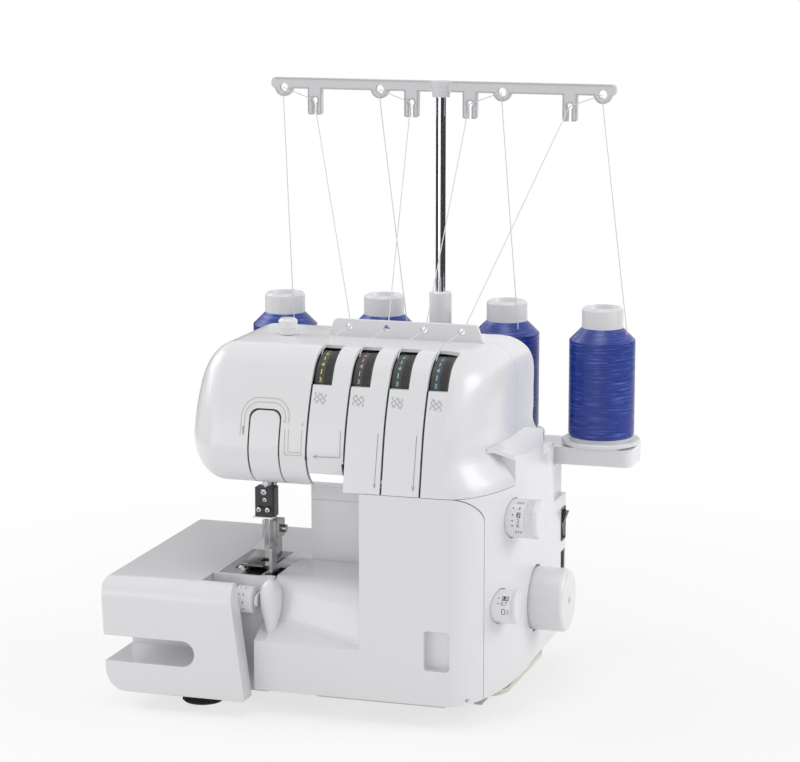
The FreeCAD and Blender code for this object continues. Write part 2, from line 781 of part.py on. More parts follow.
def column_cover(skin):
    """Column between bed and head with a fine seam line and a wing that clears the looper cover."""
    rear = BODY_REAR - 2 * WALL - SEAM
    top = HEAD_BOTTOM - SEAM
    keep = box(COLUMN_LEFT - 1, STEP_X + WALL, COLUMN_FRONT - 1, rear, BED_TOP, top)
    wing = box(STEP_X - 1, STEP_X + WALL, CHUTE_Y, COLUMN_FRONT, BED_TOP, top)
    wing = wing.cut(rod_x(swing_reach() + 2 * SEAM, 0, FAR, HINGE_Y, HINGE_Z))
    cover = skin.common(fuse(keep, wing))
    depth = 0.7
    half = 0.4
    ring = box(COLUMN_LEFT - 1, STEP_X, COLUMN_FRONT - 1, BODY_REAR,
               COLUMN_SEAM_Z - half, COLUMN_SEAM_Z + half)
    core = box(COLUMN_LEFT + depth, FAR, COLUMN_FRONT + depth, FAR, 0, FAR)
    return largest(cover.cut(ring.cut(core)))


def side_cover(skin):
    """Right side with the shelf, the handwheel and dial holes and the switch openings."""
    cover = skin.common(side_region())
    cuts = [
        rod_x(WHEEL_R + WHEEL_GAP, BODY_RIGHT - 10, FAR, SHAFT_Y, SHAFT_Z),
        rod_x(LENGTH_DIAL_R + GAP, DIAL_BACK - 2, FAR, LENGTH_DIAL_Y, LENGTH_DIAL_Z),
        rod_x(RATIO_DIAL_R + GAP, DIAL_BACK - 6, FAR, RATIO_DIAL_Y, RATIO_DIAL_Z),
        box(BODY_RIGHT - 5, FAR, SWITCH_Y - SWITCH_W / 2, SWITCH_Y + SWITCH_W / 2,
            SWITCH_Z - SWITCH_H / 2, SWITCH_Z + SWITCH_H / 2),
        box(BODY_RIGHT - 5, FAR, SWITCH_Y - SWITCH_W / 2, SWITCH_Y + SWITCH_W / 2,
            SOCKET_Z - SOCKET_H / 2, SOCKET_Z + SOCKET_H / 2),
        lower_edge_cut(),
    ]
    return largest(fuse(cover, shelf_nose()).cut(cuts))


def lower_edge_cut():
    """Wedge that lifts the right side's lower edge towards the rear."""
    low = COVER_BOTTOM
    rear = BACK_REAR + 5
    corners = [
        (BODY_FRONT - 5, -10, 0), (rear, -10, 0), (rear, low + REAR_RISE, 0),
        (CORNER_Y, low + CORNER_RISE, 0), (BODY_FRONT, low, 0), (BODY_FRONT - 5, low, 0),
    ]
    return along_x(corners, STEP_X - 1, FAR)


def largest(shape):
    """The main solid of a cut, without loose slivers."""
    return max(shape.Solids, key=lambda solid: solid.Volume)


def takeup_cover(skin):
    """Panel over the take-up lever, carried on a rib from the frame's arm."""
    panel = largest(skin.common(takeup_window(TAKEUP_GAP)).cut(box(-FAR, FAR, SPLIT_Y, FAR, 0, FAR)))
    rib = box(TAKEUP_X - 1.5, TAKEUP_X + 1.5, -FAR, ARM_BACK_Y, ARM_Z0 + 2, ARM_Z0 + 14)
    return fuse(panel, rib.common(head_body(WALL / 2, HEAD_JOIN)))


def chute_section(x, floor, rise, bend, brow):
    """Side outline of the low part of the looper cover at x: lip, sloping chute and shelf at bed level."""
    shelf_y = COLUMN_FRONT - SEAM - 2.0
    inner = CHUTE_Y + WALL
    floor_y = BODY_FRONT + floor
    floor_z = LIP_Z + rise
    outline = [
        (BODY_FRONT, COVER_BOTTOM, 0), (BODY_FRONT, LIP_Z, 1.0), (floor_y, floor_z, bend),
        (CHUTE_Y, BED_TOP, brow), (shelf_y, BED_TOP, 0), (shelf_y, BED_TOP - WALL, 0),
        (inner, BED_TOP - WALL, brow - WALL), (floor_y + WALL, floor_z - WALL, bend + WALL),
        (BODY_FRONT + WALL, LIP_Z - WALL - 1, 0.4), (BODY_FRONT + WALL, COVER_BOTTOM, 0),
    ]
    wire = rounded(outline, on_yz).OuterWire
    wire.translate(V(x, 0, 0))
    return wire


def cover_bulge():
    """Rounded end of the chute: a smooth turned form, cut flat at the front of the cover."""
    outline = [
        (0, LIP_Z - 3), (BULGE_R * 0.3, LIP_Z + 1), (BULGE_R * 0.62, LIP_Z + 12),
        (BULGE_R * 0.93, LIP_Z + 24), (BULGE_R, LIP_Z + 33), (BULGE_R * 0.8, BED_TOP - 4), (0, BED_TOP + 1.5),
    ]
    curve = Part.BSplineCurve()
    curve.interpolate([V(r, 0, z) for r, z in outline])
    axis = Part.LineSegment(V(0, 0, outline[-1][1]), V(0, 0, outline[0][1]))
    form = Part.Face(Part.Wire([curve.toShape(), axis.toShape()])).revolve(V(0, 0, 0), V(0, 0, 1), 360)
    form.translate(V(BULGE_X, BULGE_Y, 0))
    return form.common(box(-FAR, FAR, BODY_FRONT, FAR, 0, FAR))


def looper_cover(skin):
    """Front cover over the loopers: tall right part, hollow chute, end bulge and hinge lugs."""
    tall = largest(skin.common(looper_region(0)).cut(lower_edge_cut()))
    side = box(STEP_X - 1, STEP_X + WALL, SEAM_Y - 1, COLUMN_FRONT - SEAM - 2, BED_TOP - 1,
               COVER_TOP - SEAM / 2)
    side = skin.common(side.common(rod_x(swing_reach(), 0, FAR, HINGE_Y, HINGE_Z)))
    left = chute_section(ARM_RIGHT + SEAM, CHUTE_FLOOR, CHUTE_RISE, CHUTE_BEND, CHUTE_R)
    right = chute_section(STEP_X + WALL, CHUTE_RIGHT_FLOOR, CHUTE_RIGHT_RISE, CHUTE_RIGHT_BEND, CHUTE_RIGHT_R)
    chute = Part.makeLoft([left, right], True, True)
    cover = fuse(tall, side, chute, cover_bulge(), cover_wing())
    lug_r = HINGE_ROD_R + 1.6
    for x in (ARM_RIGHT + 10, BODY_RIGHT - 46):
        lug = fuse(
            rod_x(lug_r, x, x + 10, HINGE_Y, HINGE_Z),
            box(x, x + 10, BODY_FRONT + 1, HINGE_Y, HINGE_Z - 2, HINGE_Z + lug_r),
        )
        cover = cover.fuse(lug)
    cover = cover.cut(rod_x(HINGE_ROD_R + RUN, -FAR, FAR, HINGE_Y, HINGE_Z))
    pocket = along_y(rectangle(FINGER_X - FINGER_W / 2, FINGER_X + FINGER_W / 2,
                               FINGER_Z - FINGER_H / 2, FINGER_Z + FINGER_H / 2, 3.0),
                     BODY_FRONT - 1, BODY_FRONT + FINGER_DEPTH)
    liner = along_y(rectangle(FINGER_X - FINGER_W / 2 - WALL, FINGER_X + FINGER_W / 2 + WALL,
                              FINGER_Z - FINGER_H / 2 - WALL, FINGER_Z + FINGER_H / 2 + WALL, 4.0),
                    BODY_FRONT - 1, BODY_FRONT + FINGER_DEPTH + WALL)
    liner = liner.common(lower_body(WALL / 2, BASE_TOP))
    return largest(cover.fuse(liner).cut(pocket).removeSplitter())


def cover_wing():
    """Left end of the looper cover, which reaches past the bed's corner to the tip of the table."""
    x0 = TABLE_TIP_BOTTOM + WING_GAP
    rear = BED_FRONT - 2 * GAP
    top = LIP_Z + WING_RISE
    skin = along_x([
        (BODY_FRONT, COVER_BOTTOM, 0), (BODY_FRONT, LIP_Z, 1.0), (rear, top, 0), (rear, top - WALL, 0),
        (BODY_FRONT + WALL, LIP_Z - WALL, 0), (BODY_FRONT + WALL, COVER_BOTTOM, 0),
    ], x0, ARM_RIGHT + SEAM + WALL)
    end = along_x([
        (BODY_FRONT, COVER_BOTTOM, 0), (BODY_FRONT, LIP_Z, 1.0), (rear, top, 0),
        (rear, HINGE_Z + 2 * WALL, 0), (HINGE_Y, COVER_BOTTOM, 0),
    ], x0, x0 + WALL)
    return fuse(skin, end)


def cover_hinge_rod():
    """Rod in the base plate's arms that the looper cover turns on."""
    return rod_x(HINGE_ROD_R, ARM_RIGHT + 6, BODY_RIGHT - 30, HINGE_Y, HINGE_Z)


def bed_cover():
    """Fixed bed and free arm: top plate, skirts, seat of the needle plate and dial lugs."""
    z0 = BASE_TOP
    column_front = COLUMN_FRONT - SEAM
    outer = fuse(
        box(BED_LEFT, ARM_RIGHT, BED_FRONT, BED_REAR, z0, BED_TOP),
        box(BED_LEFT, STEP_X, column_front, BED_REAR, z0, BED_TOP),
    )
    inner = fuse(
        box(BED_LEFT + WALL, FAR, BED_FRONT + WALL, BED_REAR - WALL, z0 - 1, BED_TOP - BED_T),
        box(ARM_RIGHT - 5, FAR, BED_FRONT - 1, column_front + 8, z0 - 1, BED_TOP - BED_T),
    )
    cover = outer.cut(inner)
    seat = box(NPLATE_LEFT - NPLATE_FIT, NPLATE_RIGHT + NPLATE_FIT, NPLATE_FRONT - NPLATE_FIT,
               NPLATE_REAR + NPLATE_FIT, BED_TOP - NPLATE_T, BED_TOP + 1)
    ledge = 3.0
    throat = box(NPLATE_LEFT + ledge, NPLATE_RIGHT - ledge, NPLATE_FRONT + ledge, NPLATE_REAR - ledge,
                 50, FAR)
    knife_slot = box(NPLATE_RIGHT + 1, ARM_RIGHT + 1, KNIFE_Y - 10, KNIFE_Y + 30, 50, FAR)
    cover = cover.cut([seat, throat, knife_slot])
    pin_y = WIDTH_DIAL_Y
    for x0 in (WIDTH_DIAL_X - WIDTH_DIAL_W / 2 - GAP - LUG_T, WIDTH_DIAL_X + WIDTH_DIAL_W / 2 + GAP):
        lug = fuse(
            rod_x(5.0, x0, x0 + LUG_T, pin_y, WIDTH_DIAL_Z),
            box(x0, x0 + LUG_T, pin_y, BED_FRONT + 1, WIDTH_DIAL_Z - 5, WIDTH_DIAL_Z + 5),
        )
        cover = cover.fuse(lug)
    cover = cover.cut(rod_x(2.0 + RUN, WIDTH_DIAL_X - 20, WIDTH_DIAL_X + 20, pin_y, WIDTH_DIAL_Z))
    return largest(cover.removeSplitter())


def extension_table():
    """Pull-off table round the free arm, hollow below, with a grip slot open to front and left."""
    draft = 4.0
    outline = [
        (LEFT_X + draft, TABLE_BOTTOM, TABLE_CORNER_R), (TABLE_TIP_BOTTOM, TABLE_BOTTOM, 2.0),
        (TABLE_TIP_TOP, BED_TOP, 2.0), (LEFT_X, BED_TOP, 4.0),
    ]
    side = [
        (FRONT_Y, TABLE_BOTTOM, 2.0), (TABLE_REAR, TABLE_BOTTOM, 2.0),
        (TABLE_REAR, BED_TOP, 4.0), (FRONT_Y, BED_TOP, TABLE_NOSE_R),
    ]
    block = along_y(outline, FRONT_Y, TABLE_REAR).common(along_x(side, LEFT_X - 1, 0))
    room = box(BED_LEFT - SEAM, FAR, TABLE_INNER_Y, FAR, 0, FAR)
    block = block.cut(room)
    wall = TABLE_WALL
    inside = along_y([
        (LEFT_X + draft + wall, TABLE_BOTTOM - 1, 0), (TABLE_TIP_BOTTOM - wall, TABLE_BOTTOM - 1, 0),
        (TABLE_TIP_TOP - wall, BED_TOP - wall, 2.0), (LEFT_X + wall, BED_TOP - wall, 2.0),
    ], FRONT_Y + wall, TABLE_REAR - wall)
    nose = along_x([
        (FRONT_Y + wall, TABLE_BOTTOM - 2, 0), (TABLE_REAR - wall, TABLE_BOTTOM - 2, 0),
        (TABLE_REAR - wall, BED_TOP - wall, 2.0), (FRONT_Y + wall, BED_TOP - wall, TABLE_NOSE_R - wall),
    ], LEFT_X, 0)
    inside = inside.common(nose)
    inside = inside.cut(box(BED_LEFT - SEAM - wall, FAR, TABLE_INNER_Y - wall, FAR, 0, FAR))
    bottom_left = along_y([
        (LEFT_X + draft + wall, TABLE_BOTTOM + wall, TABLE_CORNER_R - wall), (0, TABLE_BOTTOM + wall, 0),
        (0, FAR, 0), (LEFT_X + wall, FAR, 0),
    ], FRONT_Y, TABLE_REAR)
    opening = box(LEFT_X + TABLE_CORNER_R + 10, 0, FRONT_Y + wall, FAR, 0, BED_TOP)
    inside = inside.common(fuse(bottom_left, opening))
    table = block.cut(inside)
    slot_back = FRONT_Y + SLOT_DEPTH
    slot_r = (SLOT_HIGH - SLOT_LOW) / 2 - 0.2
    slot = along_y([
        (LEFT_X - 10, SLOT_LOW, 0), (SLOT_END, SLOT_LOW, slot_r),
        (SLOT_END, SLOT_HIGH, slot_r), (LEFT_X - 10, SLOT_HIGH, 0),
    ], FRONT_Y - 1, slot_back)
    liner = along_y([
        (LEFT_X - 10, SLOT_LOW - wall, 0), (SLOT_END + wall, SLOT_LOW - wall, slot_r),
        (SLOT_END + wall, SLOT_HIGH + wall, slot_r), (LEFT_X - 10, SLOT_HIGH + wall, 0),
    ], FRONT_Y, slot_back + wall).common(block)
    return largest(table.fuse(liner).cut(slot).removeSplitter())


# Frame and base

LEVER_Z = 190.0
KNIFE_Y = -85.0
KNIFE_Z = 46.0
KNIFE_T = 2.6
KNIFE_PIN_X = -60.0
KNIFE_PIN_R = 2.5
LOWER_PIVOT = (-50.0, 34.0)
UPPER_PIVOT = (-40.0, 52.0)
BRACKET_Y0 = -36.0
BRACKET_Y1 = -28.0
WALL_X = 100.0             # frame plate that carries the right-hand bush and the dials
WALL_T = 6.0
POST_X0 = 30.0
POST_X1 = 60.0
POST_REAR = 20.0
BUSH_LOW_Z = 180.0
BUSH_L = 12.0


def base_plate():
    """Flat tray under the machine with a lug for the front left foot and hinge rod brackets."""
    corners = [
        (BASE_LEFT, LUG_FRONT, 10), (BASE_LEFT + 62, LUG_FRONT, 10), (BASE_LEFT + 62, -62, 6),
        (STRIP_LEFT, -62, 6), (STRIP_LEFT, BASE_FRONT, 3), (STRIP_RIGHT, BASE_FRONT, 3),
        (STRIP_RIGHT, -50, 6), (BASE_RIGHT, -50, 20), (BASE_RIGHT, BASE_REAR, 12), (BASE_LEFT, BASE_REAR, 12),
    ]
    plate = along_z(corners, FOOT_H, BASE_TOP)
    for x in (0.0, 60.0):
        arm = along_x([
            (HINGE_Y - 3.2, HINGE_Z - 3.4, 0), (BASE_FRONT + 1, BASE_TOP - 1, 0),
            (BASE_FRONT + 14, BASE_TOP - 1, 0),
            (HINGE_Y + 5, HINGE_Z + 3.4, 1.0), (HINGE_Y - 3.2, HINGE_Z + 3.4, 1.0),
        ], x, x + 8)
        plate = plate.fuse(arm)
    plate = plate.cut(rod_x(HINGE_ROD_R, -FAR, FAR, HINGE_Y, HINGE_Z))
    return largest(plate.removeSplitter())


def rubber_feet():
    """Four feet with a wide sole and a narrower neck."""
    places = [
        (BASE_LEFT + FOOT_INSET, FRONT_FOOT_Y), (BASE_LEFT + FOOT_INSET, BASE_REAR - FOOT_INSET),
        (BASE_RIGHT - RIGHT_FOOT_INSET, RIGHT_FOOT_Y),
        (BASE_RIGHT - RIGHT_FOOT_INSET, BASE_REAR - FOOT_INSET),
    ]
    profile = [(0, 0), (FOOT_R - 1.5, 0), (FOOT_R, 1.5), (FOOT_R - 4, FOOT_H), (0, FOOT_H)]
    return Part.makeCompound([turned(profile, (x, y, 0)) for x, y in places])


def main_frame():
    """Cast frame: floor, post, arm, bar brackets, dial lugs, looper bracket and right-hand plate."""
    floor = box(COLUMN_LEFT - 9, WALL_X + WALL_T, BRACKET_Y0, POST_REAR, BASE_TOP, BASE_TOP + 6)
    post = box(POST_X0, POST_X1, ARM_BACK_Y, POST_REAR, BASE_TOP, ARM_Z1)
    arm = box(PRESSER_X - 17, SLIT_XS[-1] + 26, ARM_BACK_Y, ARM_REAR_Y, ARM_Z0, ARM_Z1)
    upper = box(NEEDLE_X - 9, NEEDLE_X + 12, NEEDLE_Y - 8, ARM_BACK_Y + 1, ARM_Z0, ARM_Z0 + BUSH_L)
    lower = box(NEEDLE_X - 9, NEEDLE_X + 12, NEEDLE_Y - 8, ARM_BACK_Y + 1, BUSH_LOW_Z, BUSH_LOW_Z + BUSH_L)
    web = box(NEEDLE_X - 9, NEEDLE_X + 12, ARM_BACK_Y, ARM_BACK_Y + 8, BUSH_LOW_Z, ARM_Z0 + 1)
    left_wall = box(COLUMN_LEFT - 9, COLUMN_LEFT - 3, ARM_BACK_Y, POST_REAR, BASE_TOP + 5, SHAFT_Z + 16)
    bracket = box(COLUMN_LEFT - 9, UPPER_PIVOT[0] + 9, BRACKET_Y0, BRACKET_Y1,
                  BASE_TOP + 5, UPPER_PIVOT[1] + 26)
    right_wall = box(WALL_X, WALL_X + WALL_T, SEAM_Y + 9, POST_REAR, BASE_TOP + 5, LENGTH_DIAL_Z + 14)
    strip = box(WALL_X, WALL_X + WALL_T, SEAM_Y + 9, BRACKET_Y0 + 1, BASE_TOP + 2, BASE_TOP + 6)
    solids = [post, arm, upper, lower, web, left_wall, bracket, right_wall, strip]
    for x in SLIT_XS:
        solids.append(box(x + 21.5, x + 25, FACE_Y - 10, ARM_BACK_Y + 1, DIAL_Z - 22, DIAL_Z + 10))
    frame = floor.fuse(solids)
    bush_r = SHAFT_R + BUSH_T
    cuts = [
        rod_x(bush_r, COLUMN_LEFT - 20, COLUMN_LEFT, SHAFT_Y, SHAFT_Z),
        rod_x(SHAFT_R + 4, POST_X0 - 5, POST_X1 + 5, SHAFT_Y, SHAFT_Z),
        rod_x(bush_r, WALL_X - 5, WALL_X + 20, SHAFT_Y, SHAFT_Z),
        rod_x(DIAL_STEM_R + RUN, WALL_X - 5, WALL_X + 20, LENGTH_DIAL_Y, LENGTH_DIAL_Z),
        rod_x(DIAL_STEM_R + RUN, WALL_X - 5, WALL_X + 20, RATIO_DIAL_Y, RATIO_DIAL_Z),
        rod_z(NEEDLE_BAR_R + BUSH_T, BUSH_LOW_Z - 5, ARM_Z0 + BUSH_L + 5, NEEDLE_X, NEEDLE_Y),
        rod_z(PRESSER_BAR_R + BUSH_T, BUSH_LOW_Z - 5, ARM_Z1 + 5, PRESSER_X, PRESSER_Y),
        rod_y(4.0 + RUN, BRACKET_Y0 - 5, BRACKET_Y1 + 5, *LOWER_PIVOT),
        rod_y(4.0 + RUN, BRACKET_Y0 - 5, BRACKET_Y1 + 5, *UPPER_PIVOT),
    ]
    for x in SLIT_XS:
        cuts.append(rod_x(POST_R, x + 20, x + 26, FACE_Y, DIAL_Z))
    frame = frame.cut(cuts)
    return largest(fuse(frame, take_up_pin(), knife_pin()))


def guide_bushes():
    """Plain bushes of the main shaft, the needle bar and the presser bar."""
    solids = []
    for x in (COLUMN_LEFT - 9, WALL_X):
        ring = rod_x(SHAFT_R + BUSH_T, x, x + WALL_T, SHAFT_Y, SHAFT_Z)
        solids.append(ring.cut(rod_x(SHAFT_R + RUN, x - 1, x + WALL_T + 1, SHAFT_Y, SHAFT_Z)))
    for z in (BUSH_LOW_Z, ARM_Z0):
        for r, x, y in ((NEEDLE_BAR_R, NEEDLE_X, NEEDLE_Y), (PRESSER_BAR_R, PRESSER_X, PRESSER_Y)):
            ring = rod_z(r + BUSH_T, z, z + BUSH_L, x, y)
            solids.append(ring.cut(rod_z(r + RUN, z - 1, z + BUSH_L + 1, x, y)))
    return Part.makeCompound(solids)


# Drive

def main_shaft():
    """Main shaft with the eccentrics for loopers, knife and feed."""
    shaft = rod_x(SHAFT_R, COLUMN_LEFT - 14, BODY_RIGHT + 12, SHAFT_Y, SHAFT_Z)
    parts = []
    for x, shift in ((COLUMN_LEFT + 8, 4.0), (COLUMN_LEFT + 24, -4.0), (COLUMN_LEFT + 40, 4.0)):
        parts.append(rod_x(13.0, x, x + 9, SHAFT_Y, SHAFT_Z + shift))
    return shaft.fuse(parts).removeSplitter()


def handwheel():
    """Smooth handwheel with a rounded rim and a small face dimple, half sunk in the side cover."""
    back = WHEEL_BACK
    rim = rod_x(WHEEL_R, back, WHEEL_FACE, SHAFT_Y, SHAFT_Z)
    rim = rim.makeFillet(4.0, edges_at(rim, lambda p: p.x > WHEEL_FACE - 0.1))
    rim = rim.makeFillet(1.2, edges_at(rim, lambda p: p.x < back + 0.1))
    dimple = rod_x(3.0, WHEEL_FACE - 1.2, WHEEL_FACE + 1, SHAFT_Y, SHAFT_Z)
    bore = rod_x(SHAFT_R, WALL_X, BODY_RIGHT + 12, SHAFT_Y, SHAFT_Z)
    return rim.cut([dimple, bore])


def pulley(r, bore, y, z):
    """Flanged belt pulley."""
    x0 = PULLEY_X
    body = rod_x(r, x0, x0 + PULLEY_W, y, z)
    for x in (x0 - 1.5, x0 + PULLEY_W):
        body = body.fuse(rod_x(r + BELT_T + BELT_CLEAR + 1, x, x + 1.5, y, z))
    return body.cut(rod_x(bore, x0 - 5, x0 + PULLEY_W + 5, y, z)).removeSplitter()


def motor_pulley():
    """Motor pulley on its shaft."""
    wheel = pulley(MOTOR_PULLEY_R, 2.0, MOTOR_Y, MOTOR_Z)
    shaft = rod_x(3.0, PULLEY_X - 24, PULLEY_X + PULLEY_W + 4, MOTOR_Y, MOTOR_Z)
    return fuse(wheel, shaft)


def motor_body():
    """Motor can with end bosses, a shaft hole and a foot on the base plate."""
    x1 = PULLEY_X - 6
    can = rod_x(MOTOR_R, x1 - MOTOR_L, x1 - 4, MOTOR_Y, MOTOR_Z)
    boss = rod_x(10.0, x1 - MOTOR_L - 4, x1, MOTOR_Y, MOTOR_Z)
    foot = box(x1 - MOTOR_L + 8, x1 - 12, MOTOR_Y - 16, MOTOR_Y + 16, BASE_TOP, MOTOR_Z - 10)
    return fuse(can, boss, foot).cut(rod_x(3.0 + RUN, x1 - 40, x1 + 5, MOTOR_Y, MOTOR_Z))


def belt_loop(offset):
    """Plan of a belt round both pulleys, offset from their rims."""
    dy = MOTOR_Y - SHAFT_Y
    dz = MOTOR_Z - SHAFT_Z
    span = math.hypot(dy, dz)
    r1 = SHAFT_PULLEY_R + offset
    r2 = MOTOR_PULLEY_R + offset
    heading = math.atan2(dz, dy)
    lean = math.acos((r1 - r2) / span)

    def at(centre, r, angle):
        return V(0, centre[0] + r * math.cos(angle), centre[1] + r * math.sin(angle))

    big = (SHAFT_Y, SHAFT_Z)
    small = (MOTOR_Y, MOTOR_Z)
    a = at(big, r1, heading + lean)
    b = at(big, r1, heading - lean)
    c = at(small, r2, heading - lean)
    d = at(small, r2, heading + lean)
    edges = [
        Part.Arc(a, at(big, r1, heading + math.pi), b).toShape(),
        Part.LineSegment(b, c).toShape(),
        Part.Arc(c, at(small, r2, heading), d).toShape(),
        Part.LineSegment(d, a).toShape(),
    ]
    return Part.Face(Part.Wire(edges))


def drive_belt():
    """Flat belt between motor and shaft pulley."""
    ring = belt_loop(BELT_CLEAR + BELT_T).cut(belt_loop(BELT_CLEAR))
    ring.translate(V(PULLEY_X + 0.5, 0, 0))
    return ring.extrude(V(PULLEY_W - 1, 0, 0))


# Stitch forming

def needle_bar():
    """Polished needle bar."""
    return rod_z(NEEDLE_BAR_R, BED_TOP + CLAMP_RISE + CLAMP_H - 12, ARM_Z0 + 47, NEEDLE_X, NEEDLE_Y)


def needle_clamp():
    """Clamp block at the end of the needle bar with needle sockets."""
    z0 = BED_TOP + CLAMP_RISE
    block = along_z(rectangle(NEEDLE_X - CLAMP_W / 2, NEEDLE_X + CLAMP_W / 2,
                              NEEDLE_Y - CLAMP_D / 2, NEEDLE_Y + CLAMP_D / 2, 2.0), z0, z0 + CLAMP_H)
    block = block.cut(rod_z(NEEDLE_BAR_R, z0 + CLAMP_H - 12, z0 + CLAMP_H + 1, NEEDLE_X, NEEDLE_Y))
    for x in needle_xs():
        block = block.cut(rod_z(NEEDLE_R + 0.2, z0 - 1, z0 + 8, x, NEEDLE_Y))
    for dx in (-3.6, 3.6):
        face_y = NEEDLE_Y - CLAMP_D / 2
        block = block.fuse(rod_y(2.4, face_y - 2, face_y + 1, NEEDLE_X + dx, z0 + 6))
    return block.removeSplitter()


def needle_xs():
    """Places of the two needles."""
    return (NEEDLE_X - NEEDLE_GAUGE / 2, NEEDLE_X + NEEDLE_GAUGE / 2)


def needles():
    """Two needles: round shank, thinner blade and point."""
    top = CLAMP_RISE + 8
    profile = [(0, TIP_RISE), (NEEDLE_R * 0.6, TIP_RISE + 4), (NEEDLE_R * 0.6, CLAMP_RISE - 10),
               (NEEDLE_R + 0.2, CLAMP_RISE - 8), (NEEDLE_R + 0.2, top), (0, top)]
    return Part.makeCompound([turned(profile, (x, NEEDLE_Y, BED_TOP)) for x in needle_xs()])


TAKEUP_PIVOT = (-50.0, 216.0)


def take_up_lever():
    """Thread take-up lever behind its cover, on a pin in the frame's arm."""
    y, z = TAKEUP_PIVOT
    hub = rod_x(6.0, TAKEUP_X + 3, TAKEUP_X + 9, y, z)
    arm = box(TAKEUP_X + 4, TAKEUP_X + 8, y - 40, y, z - 3, z + 3)
    eye = rod_x(4.5, TAKEUP_X + 4, TAKEUP_X + 8, y - 42, z)
    lever = fuse(hub, arm, eye)
    return lever.cut([
        rod_x(2.0, TAKEUP_X, TAKEUP_X + 12, y - 42, z),
        rod_x(3.0 + RUN, TAKEUP_X, TAKEUP_X + 12, y, z),
    ])


def take_up_pin():
    """Pin of the take-up lever with its block on the frame's arm."""
    y, z = TAKEUP_PIVOT
    block = box(TAKEUP_X + 10, TAKEUP_X + 16, y - 5, ARM_BACK_Y, z - 6, z + 6)
    return fuse(block, rod_x(3.0, TAKEUP_X + 2, TAKEUP_X + 12, y, z))


def looper(pivot, tip, y0, y1):
    """Looper: shaft in its bracket, tapering arm and a hooked blade."""
    px, pz = pivot
    tx, tz = tip
    shaft = rod_y(4.0, y0, BRACKET_Y1, px, pz)
    hub = rod_y(6.5, y0, y1, px, pz)
    run = math.hypot(tx - px, tz - pz)
    side = V(-(tz - pz) / run, 0, (tx - px) / run)
    base = V(px, y0, pz)
    end = V(tx, y0, tz)
    nose = end + V(-13, 0, -2)
    points = [base + side * 5, base - side * 5, end - side * 2.5, end + V(0, 0, 2.5), nose, end + side * 2.5]
    arm = Part.Face(Part.makePolygon(points + points[:1])).extrude(V(0, y1 - y0, 0))
    return fuse(shaft, hub, arm)


def upper_looper():
    """Looper in front of the needles."""
    return looper(UPPER_PIVOT, (-52.0, BED_TOP - 9), NEEDLE_Y - 5, NEEDLE_Y - 1.7)


def lower_looper():
    """Looper behind the needles."""
    return looper(LOWER_PIVOT, (-54.0, BED_TOP - 22), NEEDLE_Y + 1.7, NEEDLE_Y + 5)


def upper_knife():
    """Moving knife: block on an upright guide pin with the blade standing beside the presser foot."""
    x0 = NPLATE_RIGHT + 4.4
    half = 6.0
    block = box(x0 - 0.4, KNIFE_PIN_X + half, KNIFE_Y - half, KNIFE_Y + half, KNIFE_Z, KNIFE_Z + 16)
    blade = along_x([
        (KNIFE_Y - 5, KNIFE_Z + 8, 0), (KNIFE_Y + 5, KNIFE_Z + 8, 0),
        (KNIFE_Y + 5, BED_TOP + 20, 3.0), (KNIFE_Y - 5, BED_TOP + 20, 1.0),
    ], x0, x0 + KNIFE_T)
    return fuse(block, blade).cut(rod_z(KNIFE_PIN_R + RUN, 0, FAR, KNIFE_PIN_X, KNIFE_Y))


def knife_pin():
    """Guide pin of the moving knife on a rail from the looper bracket."""
    z0 = BASE_TOP + 6
    rail = box(KNIFE_PIN_X - 1, KNIFE_PIN_X + 7, KNIFE_Y - 6, BRACKET_Y0 + 1, z0, z0 + 8)
    pad = box(KNIFE_PIN_X - 4, KNIFE_PIN_X + 7, KNIFE_Y - 6, KNIFE_Y + 6, z0, z0 + 8)
    return fuse(rail, pad, rod_z(KNIFE_PIN_R, z0 + 7, BED_TOP - 24, KNIFE_PIN_X, KNIFE_Y))


def lower_knife():
    """Fixed knife clamped to the needle plate's right edge."""
    x0 = NPLATE_RIGHT + 1.2
    blade = box(x0, x0 + 2.4, KNIFE_Y - 5, KNIFE_Y + 5, BED_TOP - 28, BED_TOP)
    foot = box(NPLATE_RIGHT - 4, x0 + 1, KNIFE_Y - 5, KNIFE_Y + 5, BED_TOP - BED_T - 4, BED_TOP - BED_T)
    return fuse(blade, foot)


def feed_dogs():
    """Toothed feed rails on their carrier, just under the top of the needle plate."""
    z1 = BED_TOP - 0.2
    solids = [box(NPLATE_LEFT + 7, NPLATE_LEFT + 19, -70, NPLATE_REAR, BED_TOP - 16, BED_TOP - 8)]
    for x in feed_rail_xs():
        teeth = [(-76, BED_TOP - 9, 0), (-44, BED_TOP - 9, 0)]
        for i in range(10):
            y = -44 - 3.2 * i
            teeth.append((y, z1, 0))
            teeth.append((y - 2.4, z1 - 1.2, 0))
        solids.append(along_x(teeth, x, x + 3))
    return fuse(*solids)


def feed_rail_xs():
    """Left sides of the two feed rails."""
    return (NPLATE_LEFT + 8, NPLATE_LEFT + 15)


def needle_plate():
    """Steel needle plate with feed slots, needle opening and stitch finger gap."""
    plate = rectangle(NPLATE_LEFT, NPLATE_RIGHT, NPLATE_FRONT, NPLATE_REAR, 1.0)
    plate = along_z(plate, BED_TOP - NPLATE_T, BED_TOP)
    cuts = [box(x - GAP, x + 3 + GAP, -81, -39, 0, FAR) for x in feed_rail_xs()]
    cuts.append(along_z(rectangle(NEEDLE_X - 5, NEEDLE_X + 5, NEEDLE_Y - 4, NEEDLE_Y + 4, 2.0), 0, FAR))
    return plate.cut(cuts)


# Presser

def presser_bar():
    """Presser bar from the foot to the pressure knob."""
    return rod_z(PRESSER_BAR_R, FOOT_SOLE + 18, HEAD_TOP - 12, PRESSER_X, PRESSER_Y)


